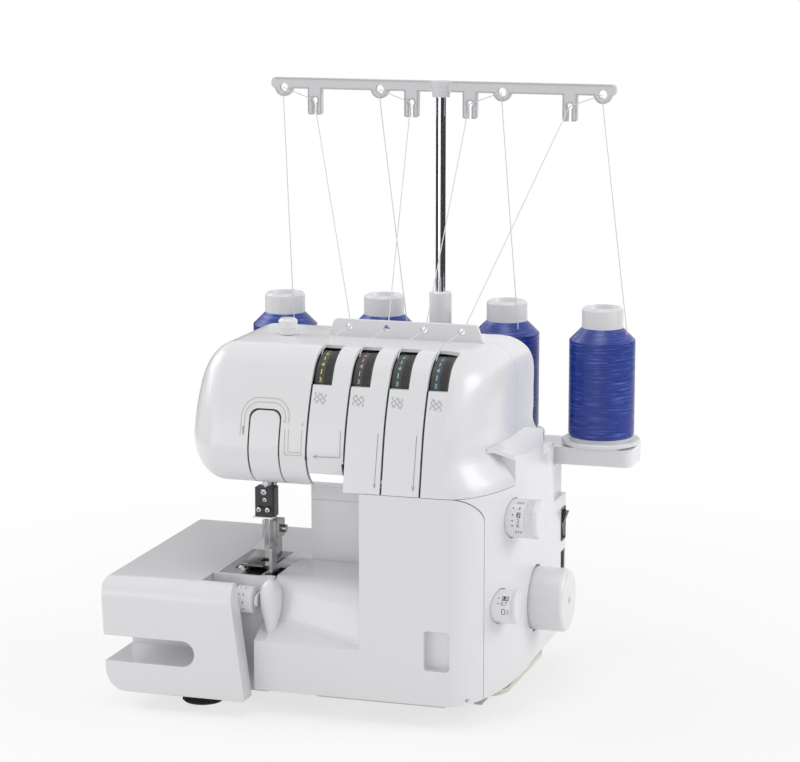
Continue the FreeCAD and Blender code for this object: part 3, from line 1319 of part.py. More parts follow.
def presser_foot():
    """Presser foot: sole with upturned toe and needle gap, ankle and clamp block."""
    z0 = FOOT_SOLE
    toe = NPLATE_FRONT + 8
    sole = along_x([
        (PRESSER_Y + 8, z0, 0), (toe + 10, z0, 6.0), (toe, z0 + 4, 0), (toe, z0 + 5.6, 0),
        (toe + 11, z0 + 2.2, 6.0), (NEEDLE_Y + 8, z0 + 2.2, 0), (PRESSER_Y + 8, z0 + 4, 0),
    ], NEEDLE_X - 17, NEEDLE_X + 7)
    gap = along_z(rectangle(NEEDLE_X - 4, NEEDLE_X + 4, NEEDLE_Y - 5, NEEDLE_Y + 5, 2.0), 0, FAR)
    sole = sole.cut([gap, box(NEEDLE_X - 18, NEEDLE_X - 11, -FAR, NEEDLE_Y - 14, 0, FAR)])
    ankle = box(PRESSER_X - 5, PRESSER_X + 5, PRESSER_Y - 6, PRESSER_Y + 6, z0 + 2, z0 + 18)
    holder = box(PRESSER_X - 7, PRESSER_X + 7, PRESSER_Y - 6.5, PRESSER_Y + 7, z0 + 18, z0 + 32)
    holder = holder.cut(rod_z(PRESSER_BAR_R, 0, FAR, PRESSER_X, PRESSER_Y))
    screw = rod_x(3.2, PRESSER_X + 7, PRESSER_X + 11, PRESSER_Y, z0 + 25)
    return fuse(sole, ankle, holder, screw)


def presser_spring():
    """Spring round the presser bar above its upper bracket, as a plain sleeve."""
    tube = rod_z(PRESSER_BAR_R + 2.2, ARM_Z0 + BUSH_L, HEAD_TOP - 20, PRESSER_X, PRESSER_Y)
    return tube.cut(rod_z(PRESSER_BAR_R + GAP, 0, FAR, PRESSER_X, PRESSER_Y))


def pressure_knob():
    """Presser pressure knob on top of the head, with a narrower neck and a stem through the cover."""
    z0 = HEAD_TOP + 0.4
    profile = [(0, z0), (KNOB_R - 1.5, z0), (KNOB_R - 1.5, z0 + 4.5), (KNOB_R, z0 + 5.5),
               (KNOB_R, z0 + KNOB_H - 1.5), (KNOB_R - 1.5, z0 + KNOB_H), (0, z0 + KNOB_H)]
    stem = rod_z(KNOB_STEM_R, HEAD_TOP - 16, z0 + 1, KNOB_X, KNOB_Y)
    return fuse(turned(profile, (KNOB_X, KNOB_Y, 0)), stem)


def presser_lever():
    """Presser foot lifting lever at the back of the head."""
    y0 = HEAD_REAR + 1.0
    hub = rod_y(8.0, y0, y0 + 9, PRESSER_X, LEVER_Z)
    shaft = rod_y(PRESSER_BAR_R, ARM_REAR_Y + 6, y0 + 1, PRESSER_X, LEVER_Z)
    arm = along_y(rectangle(PRESSER_X - 5, PRESSER_X + 5, LEVER_Z - 44, LEVER_Z, 3.0), y0 + 2, y0 + 8)
    return fuse(hub, shaft, arm)


# Controls

def tension_dial(i):
    """Thread tension wheel that shows through its window."""
    x0 = SLIT_XS[i] + SLIT_W / 2 + DISC_T
    wheel = rod_x(DIAL_R, x0, x0 + DIAL_W - 2 * DISC_T, FACE_Y, DIAL_Z)
    wheel = wheel.makeChamfer(0.8, edges_at(wheel, lambda p: abs(p.y - FACE_Y) + abs(p.z - DIAL_Z) > 5))
    return wheel.cut(rod_x(POST_R + RUN, x0 - 5, x0 + DIAL_W + 5, FACE_Y, DIAL_Z))


def tension_posts():
    """Posts of the tension dials, standing on the frame's lugs."""
    return Part.makeCompound([rod_x(POST_R, x - 5, x + 25, FACE_Y, DIAL_Z) for x in SLIT_XS])


def tension_discs():
    """Pair of thread discs beside each tension dial."""
    discs = []
    for x in SLIT_XS:
        for x0 in (x - SLIT_W / 2 - DISC_T, x + SLIT_W / 2 - DISC_T):
            disc = rod_x(DISC_R, x0, x0 + DISC_T, FACE_Y, DIAL_Z)
            discs.append(disc.cut(rod_x(POST_R, x0 - 1, x0 + 2, FACE_Y, DIAL_Z)))
    return Part.makeCompound(discs)


def side_dial(y, z, r, face_x):
    """Round setting dial on the right side with its stem in the frame plate."""
    back = DIAL_BACK
    drum = rod_x(r, back, face_x, y, z)
    drum = drum.makeFillet(1.8, edges_at(drum, lambda p: p.x > face_x - 0.1))
    return fuse(drum, rod_x(DIAL_STEM_R, WALL_X - 2, back + 1, y, z))


def stitch_width_dial():
    """Small drum dial on a pin between two lugs in front of the bed."""
    x0 = WIDTH_DIAL_X - WIDTH_DIAL_W / 2
    drum = rod_x(WIDTH_DIAL_R, x0, x0 + WIDTH_DIAL_W, WIDTH_DIAL_Y, WIDTH_DIAL_Z)
    rims = edges_at(drum, lambda p: abs(p.y - WIDTH_DIAL_Y) + abs(p.z - WIDTH_DIAL_Z) > 3)
    reach = GAP + LUG_T
    pin = rod_x(2.0, x0 - reach, x0 + WIDTH_DIAL_W + reach, WIDTH_DIAL_Y, WIDTH_DIAL_Z)
    return fuse(drum.makeFillet(1.2, rims), pin)


def switch_housing():
    """Housing of the power rocker, let into the side cover."""
    y0 = SWITCH_Y - SWITCH_W / 2
    y1 = SWITCH_Y + SWITCH_W / 2
    z0 = SWITCH_Z - SWITCH_H / 2
    z1 = SWITCH_Z + SWITCH_H / 2
    t = SWITCH_WALL
    body = box(BODY_RIGHT - SWITCH_D, BODY_RIGHT + 0.8, y0, y1, z0, z1)
    body = body.cut(box(BODY_RIGHT - SWITCH_D + t, FAR, y0 + t, y1 - t, z0 + t, z1 - t))
    return body.cut(rod_y(ROCKER_PIN_R + RUN, y0, y1, BODY_RIGHT - ROCKER_PIN_BACK, SWITCH_Z))


def power_rocker():
    """Rocker with two sloping faces on a cross pin."""
    half = SWITCH_H / 2 - SWITCH_WALL - 3 * GAP
    x1 = BODY_RIGHT
    profile = along_y([
        (x1 - 7, SWITCH_Z - half, 2.0), (x1 + 1.4, SWITCH_Z - half, 0.6), (x1 + 0.6, SWITCH_Z, 0),
        (x1 + 4.2, SWITCH_Z + half, 0.6), (x1 - 7, SWITCH_Z + half, 2.0),
    ], SWITCH_Y - SWITCH_W / 2 + SWITCH_WALL + GAP, SWITCH_Y + SWITCH_W / 2 - SWITCH_WALL - GAP)
    disc = rod_y(ROCKER_R, -FAR, FAR, BODY_RIGHT - ROCKER_PIN_BACK, SWITCH_Z)
    reach = SWITCH_W / 2 - RUN
    pin = rod_y(ROCKER_PIN_R, SWITCH_Y - reach, SWITCH_Y + reach, BODY_RIGHT - ROCKER_PIN_BACK, SWITCH_Z)
    return fuse(profile.common(disc), pin)


def controller_socket():
    """Socket for the foot controller's plug, with two contact pins inside."""
    y0 = SWITCH_Y - SWITCH_W / 2
    y1 = SWITCH_Y + SWITCH_W / 2
    z0 = SOCKET_Z - SOCKET_H / 2
    z1 = SOCKET_Z + SOCKET_H / 2
    back = BODY_RIGHT - SWITCH_D
    body = box(back, BODY_RIGHT - 0.4, y0, y1, z0, z1)
    body = body.cut(box(back + 2, FAR, y0 + 1.5, y1 - 1.5, z0 + 1.5, z1 - 1.5))
    for z in (SOCKET_Z - 6, SOCKET_Z + 6):
        body = body.fuse(rod_x(1.0, back + 1, back + 4, SWITCH_Y, z))
    return body.removeSplitter()


# Thread supply

def spool_stand():
    """Bar behind the body that carries the spool pins, hollow below."""
    x0 = POLE_X - PIN_OUT - STAND_OVER
    x1 = POLE_X + PIN_OUT + STAND_OVER
    bar = along_z(rectangle(x0, x1, STAND_FRONT, STAND_REAR, 7.0), BACK_TOP, STAND_TOP)
    hollow = along_z(rectangle(x0 + WALL, x1 - WALL, STAND_FRONT + WALL, STAND_REAR - WALL, 4.5),
                     BACK_TOP - 1, STAND_TOP - WALL)
    bar = bar.cut(hollow)
    for x, y in PINS:
        bar = bar.fuse(rod_z(PIN_R + 9, BACK_TOP + 4, STAND_TOP, x, y))
    bar = bar.cut([rod_z(PIN_R, 0, FAR, x, y) for x, y in PINS])
    bar = bar.cut(rod_z(SLEEVE_R, 0, FAR, POLE_X, POLE_Y))
    return largest(bar.removeSplitter())


def spool_pins():
    """Four pins that hold the spools upright."""
    pins = []
    for x, y in PINS:
        pin = rod_z(PIN_R, BACK_TOP + 4, PAD_TOP + PIN_H, x, y)
        pins.append(pin.makeFillet(PIN_R * 0.8, edges_at(pin, lambda p: p.z > PAD_TOP + PIN_H - 0.1)))
    return Part.makeCompound(pins)


def spool_pads():
    """Round pads under the spools."""
    pads = []
    for x, y in PINS:
        profile = [(PIN_R, STAND_TOP), (PAD_R - 4, STAND_TOP), (PAD_R, STAND_TOP + 2), (PAD_R, PAD_TOP - 1),
                   (PAD_R - 1, PAD_TOP), (PIN_R, PAD_TOP)]
        pads.append(turned(profile, (x, y, 0)))
    return Part.makeCompound(pads)


def spool_cores():
    """Four spool cores: bottom flange, barrel and the cap above the thread."""
    cores = []
    for x, y in PINS:
        bore = PIN_R + 1
        profile = [(bore, 0), (SPOOL_R - 2, 0), (SPOOL_R - 2, 2.5), (BARREL_R, 2.5), (BARREL_R, SPOOL_NECK),
                   (SPOOL_CAP_R, SPOOL_NECK), (SPOOL_CAP_R, SPOOL_TOP - 2), (SPOOL_CAP_R - 2, SPOOL_TOP),
                   (SPOOL_CAP_R - 4, SPOOL_TOP), (SPOOL_CAP_R - 5, SPOOL_TOP - 3), (bore, SPOOL_TOP - 3)]
        cores.append(turned(profile, (x, y, PAD_TOP)))
    return Part.makeCompound(cores)


def spool_threads():
    """Four thread windings with a sloping shoulder."""
    windings = []
    for x, y in PINS:
        profile = [(BARREL_R, 2.5), (SPOOL_R - 1, 2.5), (SPOOL_R, 5), (SPOOL_R, SPOOL_SHOULDER),
                   (SPOOL_CAP_R, SPOOL_NECK), (BARREL_R, SPOOL_NECK)]
        windings.append(turned(profile, (x, y, PAD_TOP)))
    return Part.makeCompound(windings)


def pole_sleeve():
    """Sleeve of the telescopic pole, closed below."""
    z0 = BACK_TOP + 3
    tube = rod_z(SLEEVE_R, z0, SLEEVE_TOP, POLE_X, POLE_Y)
    tube = tube.makeFillet(1.2, edges_at(tube, lambda p: p.z > SLEEVE_TOP - 0.1))
    return tube.cut(rod_z(POLE_R + RUN, z0 + 3, FAR, POLE_X, POLE_Y))


def stand_pole():
    """Chrome pole, drawn out of its sleeve."""
    return rod_z(POLE_R, SLEEVE_TOP - POLE_ENGAGE, BAR_TOP - 2, POLE_X, POLE_Y)


def bar_eyes():
    """Places of the guide bar's eyes along X."""
    return [POLE_X + s for s in (-BAR_EYE_OUT, -BAR_EYE_IN, BAR_EYE_IN, BAR_EYE_OUT)]


def bar_hooks():
    """Places of the guide bar's thread hooks along X."""
    return [POLE_X + s for s in (-HOOK_OUT, -HOOK_IN, HOOK_IN, HOOK_OUT)]


def guide_bar():
    """Thread guide bar on the pole, with round eyes and forked hooks."""
    y0 = POLE_Y - BAR_T / 2
    y1 = POLE_Y + BAR_T / 2
    z0 = BAR_TOP - BAR_H
    eye_z = BAR_TOP - LOBE_R - 0.5
    bar = along_y(rectangle(POLE_X - BAR_HALF, POLE_X + BAR_HALF, z0, BAR_TOP, 3.5), y0, y1)
    hub = rod_z(POLE_R + 3, z0 - 4, BAR_TOP, POLE_X, POLE_Y)
    solids = [hub]
    for x in bar_eyes():
        solids.append(rod_y(LOBE_R, y0, y1, x, BAR_TOP - LOBE_R - 0.5))
    for x in bar_hooks():
        solids.append(along_y(rectangle(x - HOOK_W / 2, x + HOOK_W / 2, z0 - HOOK_H, z0 + 4, 2.0), y0, y1))
    bar = bar.fuse(solids)
    cuts = [rod_y(BAR_EYE_R, y0 - 5, y1 + 5, x, eye_z) for x in bar_eyes()]
    for x in bar_hooks():
        cuts.append(box(x - 1.5, x + 1.5, y0 - 5, y1 + 5, z0 - HOOK_H - 1, z0 - HOOK_H + 12))
        cuts.append(rod_y(2.5, y0 - 5, y1 + 5, x, z0 - HOOK_H + 12))
    cuts.append(rod_z(POLE_R, 0, BAR_TOP - 2, POLE_X, POLE_Y))
    return bar.cut(cuts).removeSplitter()


def eye_xs():
    """Places of the guide plate's eyes along X."""
    return [x + EYE_SHIFT for x in SLIT_XS]


def eye_z():
    """Height of the guide plate's eyes."""
    return HEAD_TOP + PLATE_H / 2 + 1


def thread_guide_plate():
    """Upright plate on the head with an eye for each thread."""
    x0 = eye_xs()[0] - PLATE_MARGIN
    x1 = eye_xs()[-1] + PLATE_MARGIN
    plate = along_y([
        (x0 - PLATE_SLOPE, HEAD_TOP, 0), (x1 + PLATE_SLOPE, HEAD_TOP, 0),
        (x1, HEAD_TOP + PLATE_H, 3.0), (x0, HEAD_TOP + PLATE_H, 3.0),
    ], PLATE_Y - PLATE_T / 2, PLATE_Y + PLATE_T / 2)
    return plate.cut([rod_y(EYE_R, -FAR, FAR, x, eye_z()) for x in eye_xs()])


def threads_rise():
    """Threads from the spools up to the eyes of the guide bar."""
    threads = []
    z1 = BAR_TOP - LOBE_R - 2
    for (x, y), eye, turn in zip(PINS, bar_eyes(), THREAD_TURNS):
        out_x = THREAD_OUT * math.cos(math.radians(turn))
        out_y = THREAD_OUT * math.sin(math.radians(turn))
        start = V(x + out_x, y - out_y, PAD_TOP + SPOOL_SHOULDER + THREAD_RISE)
        end = V(eye, POLE_Y - BAR_T / 2 - 1, z1)
        threads.append(tube_along([start, end], THREAD_R, 1.0))
    return Part.makeCompound(threads)


def threads_fall():
    """Threads from the guide bar's eyes over its hooks and down to the guide plate."""
    threads = []
    z1 = BAR_TOP - BAR_H - HOOK_H + 12
    y = POLE_Y - BAR_T / 2 - 1
    for high, hook, low in zip(bar_eyes(), bar_hooks(), eye_xs()):
        start = V(high, y, BAR_TOP - LOBE_R - 0.5)
        end = V(low, PLATE_Y + PLATE_T / 2 + 0.5, eye_z() + 0.4)
        threads.append(tube_along([start, V(hook, y, z1), end], THREAD_R, 1.5))
    return Part.makeCompound(threads)


def threads_lead():
    """Threads from the guide plate's eyes forward into the tension slits."""
    threads = []
    for eye, slit in zip(eye_xs(), SLIT_XS):
        points = [
            V(eye, PLATE_Y + PLATE_T / 2 + 0.4, eye_z()),
            V(eye - 0.6, PLATE_Y - PLATE_T / 2 - 4, eye_z() - 0.4),
            V(slit, FACE_Y + 2, HEAD_TOP + 1.2),
            V(slit, FACE_Y - 9, HEAD_TOP - FACE_R + DIAL_R - 2),
        ]
        threads.append(tube_along(points, THREAD_R, 4.0))
    return Part.makeCompound(threads)


def cover_screws():
    """Housing screws in the rear wall."""
    screws = []
    for x in (COLUMN_LEFT + 14, BODY_RIGHT - 44):
        for z in (BASE_TOP + 16, BACK_TOP - 20):
            head = rod_y(3.6, BACK_REAR, BACK_REAR + 1.6, x, z)
            screws.append(fuse(head, rod_y(1.8, BACK_REAR - 8, BACK_REAR, x, z)))
    return Part.makeCompound(screws)


def screw_holes(cover):
    """Holes of the housing screws."""
    holes = []
    for x in (COLUMN_LEFT + 14, BODY_RIGHT - 44):
        for z in (BASE_TOP + 16, BACK_TOP - 20):
            holes.append(rod_y(1.8, BACK_REAR - 20, BACK_REAR + 1, x, z))
    return cover.cut(holes)


def build():
    """Every piece of the machine by name."""
    skin = casing()
    parts = {
        "base_plate": base_plate(),
        "rubber_feet": rubber_feet(),
        "main_frame": main_frame(),
        "guide_bushes": guide_bushes(),
        "front_cover": front_cover(skin),
        "rear_cover": screw_holes(rear_cover(skin)),
        "side_cover": side_cover(skin),
        "column_cover": column_cover(skin),
        "take_up_cover": takeup_cover(skin),
        "looper_cover": looper_cover(skin),
        "cover_hinge_rod": cover_hinge_rod(),
        "bed_cover": bed_cover(),
        "extension_table": extension_table(),
        "cover_screws": cover_screws(),
        "motor_body": motor_body(),
        "motor_pulley": motor_pulley(),
        "drive_belt": drive_belt(),
        "shaft_pulley": pulley(SHAFT_PULLEY_R, SHAFT_R, SHAFT_Y, SHAFT_Z),
        "main_shaft": main_shaft(),
        "handwheel": handwheel(),
        "needle_bar": needle_bar(),
        "needle_clamp": needle_clamp(),
        "needles": needles(),
        "take_up_lever": take_up_lever(),
        "upper_looper": upper_looper(),
        "lower_looper": lower_looper(),
        "upper_knife": upper_knife(),
        "lower_knife": lower_knife(),
        "feed_dogs": feed_dogs(),
        "needle_plate": needle_plate(),
        "presser_bar": presser_bar(),
        "presser_foot": presser_foot(),
        "presser_spring": presser_spring(),
        "presser_lever": presser_lever(),
        "pressure_knob": pressure_knob(),
        "tension_posts": tension_posts(),
        "tension_discs": tension_discs(),
        "stitch_length_dial": side_dial(LENGTH_DIAL_Y, LENGTH_DIAL_Z, LENGTH_DIAL_R, LENGTH_DIAL_FACE),
        "feed_ratio_dial": side_dial(RATIO_DIAL_Y, RATIO_DIAL_Z, RATIO_DIAL_R, RATIO_DIAL_FACE),
        "stitch_width_dial": stitch_width_dial(),
        "switch_housing": switch_housing(),
        "power_rocker": power_rocker(),
        "controller_socket": controller_socket(),
        "spool_stand": spool_stand(),
        "spool_pins": spool_pins(),
        "spool_pads": spool_pads(),
        "spool_cores": spool_cores(),
        "spool_threads": spool_threads(),
        "pole_sleeve": pole_sleeve(),
        "stand_pole": stand_pole(),
        "guide_bar": guide_bar(),
        "thread_guide_plate": thread_guide_plate(),
        "threads_rise": threads_rise(),
        "threads_fall": threads_fall(),
        "threads_lead": threads_lead(),
    }
    for i in range(SLITS):
        parts["tension_dial_%d" % (i + 1)] = tension_dial(i)
    return parts


os.makedirs("parts", exist_ok=True)
for name, shape in build().items():
    state = "" if shape.isValid() and shape.Volume > 0 else "  NOT VALID"
    print("%-20s solids %2d  volume %10.1f%s" % (name, len(shape.Solids), shape.Volume, state))
    shape.exportStep("parts/%s.step" % name)
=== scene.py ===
"""Four-thread overlock sewing machine, dressed for the picture.

Metres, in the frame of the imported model: +X to the machine's right, -Y to its front, +Z up.
Sizes are written in millimetres and multiplied by MM.
"""
import json
import math

import bmesh
import bpy
import numpy as np
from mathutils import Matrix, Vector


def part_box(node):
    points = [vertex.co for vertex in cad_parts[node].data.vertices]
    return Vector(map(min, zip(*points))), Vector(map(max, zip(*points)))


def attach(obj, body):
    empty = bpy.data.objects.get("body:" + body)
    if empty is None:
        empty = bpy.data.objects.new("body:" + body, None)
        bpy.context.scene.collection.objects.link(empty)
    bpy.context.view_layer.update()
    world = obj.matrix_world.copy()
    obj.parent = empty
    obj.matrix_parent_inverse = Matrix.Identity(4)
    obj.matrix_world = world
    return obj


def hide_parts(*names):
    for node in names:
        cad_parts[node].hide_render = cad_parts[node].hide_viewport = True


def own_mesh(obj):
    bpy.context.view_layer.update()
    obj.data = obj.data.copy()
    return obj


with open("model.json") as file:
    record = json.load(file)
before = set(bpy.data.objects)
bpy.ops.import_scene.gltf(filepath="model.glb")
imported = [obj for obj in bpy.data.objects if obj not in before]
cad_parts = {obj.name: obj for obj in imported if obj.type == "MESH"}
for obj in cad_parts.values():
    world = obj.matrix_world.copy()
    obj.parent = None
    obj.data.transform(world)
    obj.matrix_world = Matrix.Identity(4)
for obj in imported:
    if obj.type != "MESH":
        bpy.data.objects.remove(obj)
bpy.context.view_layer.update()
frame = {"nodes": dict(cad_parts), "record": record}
MM = 0.001

SLITS = [-26.2, 4.3, 34.8, 65.3]  # X of the thread slits in the head
DIAL_AXIS = (-67.5, 250.0)  # Y and Z of the tension dials' axis
DIAL_R = 25.9
DIGIT_STEP = 28.5  # degrees from one digit to the next
PINS = [(-117.7, 97.0), (-34.8, 109.0), (70.6, 109.0), (153.5, 97.0)]  # X and Y of the spool pins
PAD_TOP = 186.0  # Z on which the spools stand
PRINT_LINE = 0.45  # width of a printed line
INK = 0.1  # height of a print above its drum
LOW_INK = 0.08  # the same for the fields of boxed numbers and for the stitch width dial


# Arrays to meshes

def grid_faces(rows, columns, closed=False):
    """Quads of a rows x columns grid of points; closed joins the last column to the first."""
    last_column = columns if closed else columns - 1
    i, j = np.meshgrid(np.arange(rows - 1), np.arange(last_column), indexing="ij")
    a = i * columns + j
    b = i * columns + (j + 1) % columns
    return np.stack([a, b, b + columns, a + columns], -1).reshape(-1, 4)


def welded(mesh, outward):
    """Joins points that lie on each other, so seams close, and can turn all faces outward."""
    work = bmesh.new()
    work.from_mesh(mesh)
    bmesh.ops.remove_doubles(work, verts=work.verts, dist=1e-7)
    if outward:
        bmesh.ops.recalc_face_normals(work, faces=work.faces)
    work.to_mesh(mesh)
    work.free()


def placed(name, data):
    """New object with the given data, linked into the scene."""
    obj = bpy.data.objects.new(name, data)
    bpy.context.scene.collection.objects.link(obj)
    return obj


def dressed(name, mesh, body, look, angle, swaps):
    """Object from a mesh with its finish, smooth up to the edge angle, parented to its body's
    empty; the nodes it swaps for are hidden.
    """
    mesh.materials.clear()
    mesh.materials.append(look)
    mesh.shade_smooth()
    mesh.set_sharp_from_angle(angle=math.radians(angle))
    obj = placed(name, mesh)
    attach(obj, body)
    if swaps:
        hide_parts(*swaps)
    return obj


def piece(name, shape, body, look, angle=30.0, swaps=(), outward=False):
    """Object from points in millimetres and faces, smooth up to the given edge angle."""
    points, faces = shape
    blocks = faces if isinstance(faces, list) else [faces]
    mesh = bpy.data.meshes.new(name)
    mesh.from_pydata((points * MM).tolist(), [], [f for block in blocks for f in block.tolist()])
    welded(mesh, outward)
    return dressed(name, mesh, body, look, angle, swaps)


def joined(parts):
    """Joins parts whose faces are lists of blocks into one (points, blocks) pair."""
    points = []
    blocks = []
    count = 0
    for p, block_list in parts:
        points.append(p)
        blocks += [b + count for b in block_list]
        count += len(p)
    return np.concatenate(points), blocks


def turned_surface(profile, turns, axis_point, along, relief=None):
    """Surface of revolution of a profile of (r, h) points.

    At angle t a point becomes axis_point + r (cos t, sin t) across the axis + h along it.
    relief, if given, is a function of the angles whose value is added to the radius.
    """
    profile = np.asarray(profile, float)
    t = np.linspace(0, 2 * math.pi, turns, endpoint=False)
    r = profile[:, 0][:, None] + (relief(t) if relief else 0.0)
    h = np.repeat(profile[:, 1][:, None], turns, 1)
    across = np.stack([r * np.cos(t), r * np.sin(t)], -1)
    order = {"x": (2, 0, 1), "z": (0, 1, 2)}[along]
    stacked = np.concatenate([across, h[..., None]], -1)[..., order]
    points = stacked.reshape(-1, 3) + np.asarray(axis_point, float)
    return points, grid_faces(len(profile), turns, closed=True)


def rim_ribs(rows, band, depth, steepness, count):
    """Relief of ribs: a squared-off cosine of count turns on a band of the profile's rows."""
    ribbed = np.zeros((rows, 1))
    ribbed[band] = 1.0

    def ribs(t):
        return ribbed * depth * np.clip(steepness * np.cos(count * t), -1, 1)[None, :]

    return ribs


def tube(path, radius, sides=10):
    """Tube round a path: each point gets a ring of the given radius square to the path."""
    path = np.asarray(path, float)
    run = np.gradient(path, axis=0)
    run /= np.linalg.norm(run, axis=1)[:, None]
    side = np.cross(run, np.where(np.abs(run[:, :1]) > 0.9, [[0, 1, 0]], [[1, 0, 0]]))
    side /= np.linalg.norm(side, axis=1)[:, None]
    lift = np.cross(run, side)
    t = np.linspace(0, 2 * math.pi, sides, endpoint=False)
    ring = np.cos(t)[:, None] * side[:, None, :] + np.sin(t)[:, None] * lift[:, None, :]
    points = (path[:, None, :] + radius * ring).reshape(-1, 3)
    caps = np.stack([np.arange(sides)[::-1], (len(path) - 1) * sides + np.arange(sides)])
    return points, [grid_faces(len(path), sides, closed=True)[:, ::-1], caps[:, ::-1]]


def smooth_line(points):
    """Points along a smooth curve: a NURBS spline with the given control points."""
    curve = bpy.data.curves.new("route", "CURVE")
    curve.dimensions = "3D"
    spline = curve.splines.new("NURBS")
    spline.points.add(len(points) - 1)
    spline.points.foreach_set("co", [value for point in points for value in (*point, 1.0)])
    spline.order_u = 3
    spline.use_endpoint_u = True
    holder = placed("route", curve)
    mesh = bpy.data.meshes.new_from_object(holder)
    line = np.empty(len(mesh.vertices) * 3)
    mesh.vertices.foreach_get("co", line)
    bpy.data.objects.remove(holder)
    bpy.data.meshes.remove(mesh)
    bpy.data.curves.remove(curve)
    return line.reshape(-1, 3)


# Flat marks in a u, v plane, as (points, blocks of faces)

def flat_text(words, height, bold=0.0):
    """Filled outline of a short text, centred; bold swells its strokes."""
    size_per_height = 1.4
    curve = bpy.data.curves.new("digits", "FONT")
    curve.body = words
    curve.size = height * size_per_height
    curve.offset = bold
    curve.align_x = "CENTER"
    curve.align_y = "CENTER"
    curve.resolution_u = 3
    holder = placed("digits", curve)
    mesh = holder.to_mesh()
    points = np.empty(len(mesh.vertices) * 3)
    mesh.vertices.foreach_get("co", points)
    corners = [list(p.vertices) for p in mesh.polygons]
    faces = [np.array([c for c in corners if len(c) == n]) for n in (3, 4)]
    holder.to_mesh_clear()
    bpy.data.objects.remove(holder)
    bpy.data.curves.remove(curve)
    points = points.reshape(-1, 3)[:, :2]
    points -= (points.max(0) + points.min(0)) / 2
    return points, [f for f in faces if len(f)]


def flat_bar(width, height, steps=4):
    """Upright rectangle, cut into steps along v so that it can bend."""
    u = np.array([-width / 2, width / 2])
    v = np.linspace(-height / 2, height / 2, steps + 1)
    points = np.stack(np.meshgrid(u, v), -1).reshape(-1, 2)
    return points, [grid_faces(steps + 1, 2)]


def flat_dot(radius, sides=12):
    """Filled disc."""
    t = np.linspace(0, 2 * math.pi, sides, endpoint=False)
    return np.stack([radius * np.cos(t), radius * np.sin(t)], -1), [np.arange(sides)[None, :]]


def flat_stroke(line, width):
    """Stroke of even width along a line: each point is shifted half the width to both sides."""
    line = np.asarray(line, float)
    run = np.gradient(line, axis=0)
    run /= np.linalg.norm(run, axis=1)[:, None]
    side = np.stack([-run[:, 1], run[:, 0]], -1) * width / 2
    points = np.stack([line - side, line + side], 1).reshape(-1, 2)
    return points, [grid_faces(len(line), 2)[:, ::-1]]


def flat_path(corners, count=24):
    """Points in even steps along a polyline."""
    corners = np.asarray(corners, float)
    steps = np.linalg.norm(np.diff(corners, axis=0), axis=1)
    length = np.concatenate([[0], np.cumsum(steps)])
    s = np.linspace(0, length[-1], count)
    return np.stack([np.interp(s, length, corners[:, k]) for k in range(2)], -1)


def flat_wave(width, height, waves, stroke):
    """Upright wavy stroke, like a line of stitching: u = width/2 sin(2 pi waves v / height)."""
    v = np.linspace(-height / 2, height / 2, 12 * waves + 1)
    u = width / 2 * np.sin(2 * math.pi * waves * v / height)
    return flat_stroke(np.stack([u, v], -1), stroke)


def shifted(flat, u, v):
    """Flat mark moved in its own plane."""
    points, faces = flat
    return points + np.array([u, v]), faces


def on_drum(flat, x, angle, axis, radius):
    """Bends a flat mark round a drum about X: u runs along X and v runs up round the rim.

    angle is the mark's place on the rim: 0 is up and 90 is the front.
    """
    points, faces = flat
    turn = math.radians(angle) - points[:, 1] / radius
    y = axis[0] - radius * np.sin(turn)
    z = axis[1] + radius * np.cos(turn)
    return np.stack([x + points[:, 0], y, z], -1), faces


# Front surface of the head, for prints that lie on it

CROWN = (-67.5, 250.0, 30.0)  # Y and Z of an arc's centre, and its radius
SLOPE = (60.67, 176.0, 178.0)
CHIN = (-84.83, 204.28, 29.78)
CROWN_FOOT = 265.0  # Z where the slope takes over from the crown
SLOPE_FOOT = 209.96  # Z where the slope ends
SEAM_Y, SEAM_Z = -121.0, 178.0
FALL_RUN, FALL_HEIGHT = 6.94, 31.96  # of the straight line between slope and seam


def arc_depth(arc, z):
    """Y of an arc's front side at height z: centre y - sqrt(radius^2 - (z - centre z)^2)."""
    centre_y, centre_z, radius = arc
    return centre_y - np.sqrt(np.maximum(radius ** 2 - (z - centre_z) ** 2, 0))


def face_depth(z):
    """Y of the front outline at height z: crown arc, slope arc, straight fall to the seam."""
    fall = SEAM_Y + (z - SEAM_Z) * FALL_RUN / FALL_HEIGHT
    lower = np.where(z >= SLOPE_FOOT, arc_depth(SLOPE, z), fall)
    return np.where(z >= CROWN_FOOT, arc_depth(CROWN, z), lower)


def chin_depth(z):
    """Y of the overhanging head's front outline, whose lower part rounds under like a chin."""
    return np.where(z >= SLOPE_FOOT, face_depth(z), arc_depth(CHIN, z))


def on_front(flat, depth, proud=0.12):
    """Lays a flat mark on the front: u is X, v is Z and Y follows the outline, just proud of it."""
    points, faces = flat
    return np.stack([points[:, 0], depth(points[:, 1]) - proud, points[:, 1]], -1), faces


# Finishes

def feed(tree, inlet, value):
    """Gives an input its value, or links it where the value is a socket."""
    if isinstance(value, bpy.types.NodeSocket):
        tree.links.new(value, inlet)
    else:
        inlet.default_value = value


def add(tree, kind, **sockets):
    """New node; each keyword names an input and gives a value or a socket to link.

    An underscore in a keyword stands for a space.
    """
    made = tree.nodes.new(kind)
    for key, value in sockets.items():
        feed(tree, made.inputs[key.replace("_", " ")], value)
    return made


def math_node(tree, operation, *values):
    """Output of a new maths node whose inputs are values or sockets to link."""
    made = tree.nodes.new("ShaderNodeMath")
    made.operation = operation
    for inlet, value in zip(made.inputs, values):
        feed(tree, inlet, value)
    return made.outputs[0]


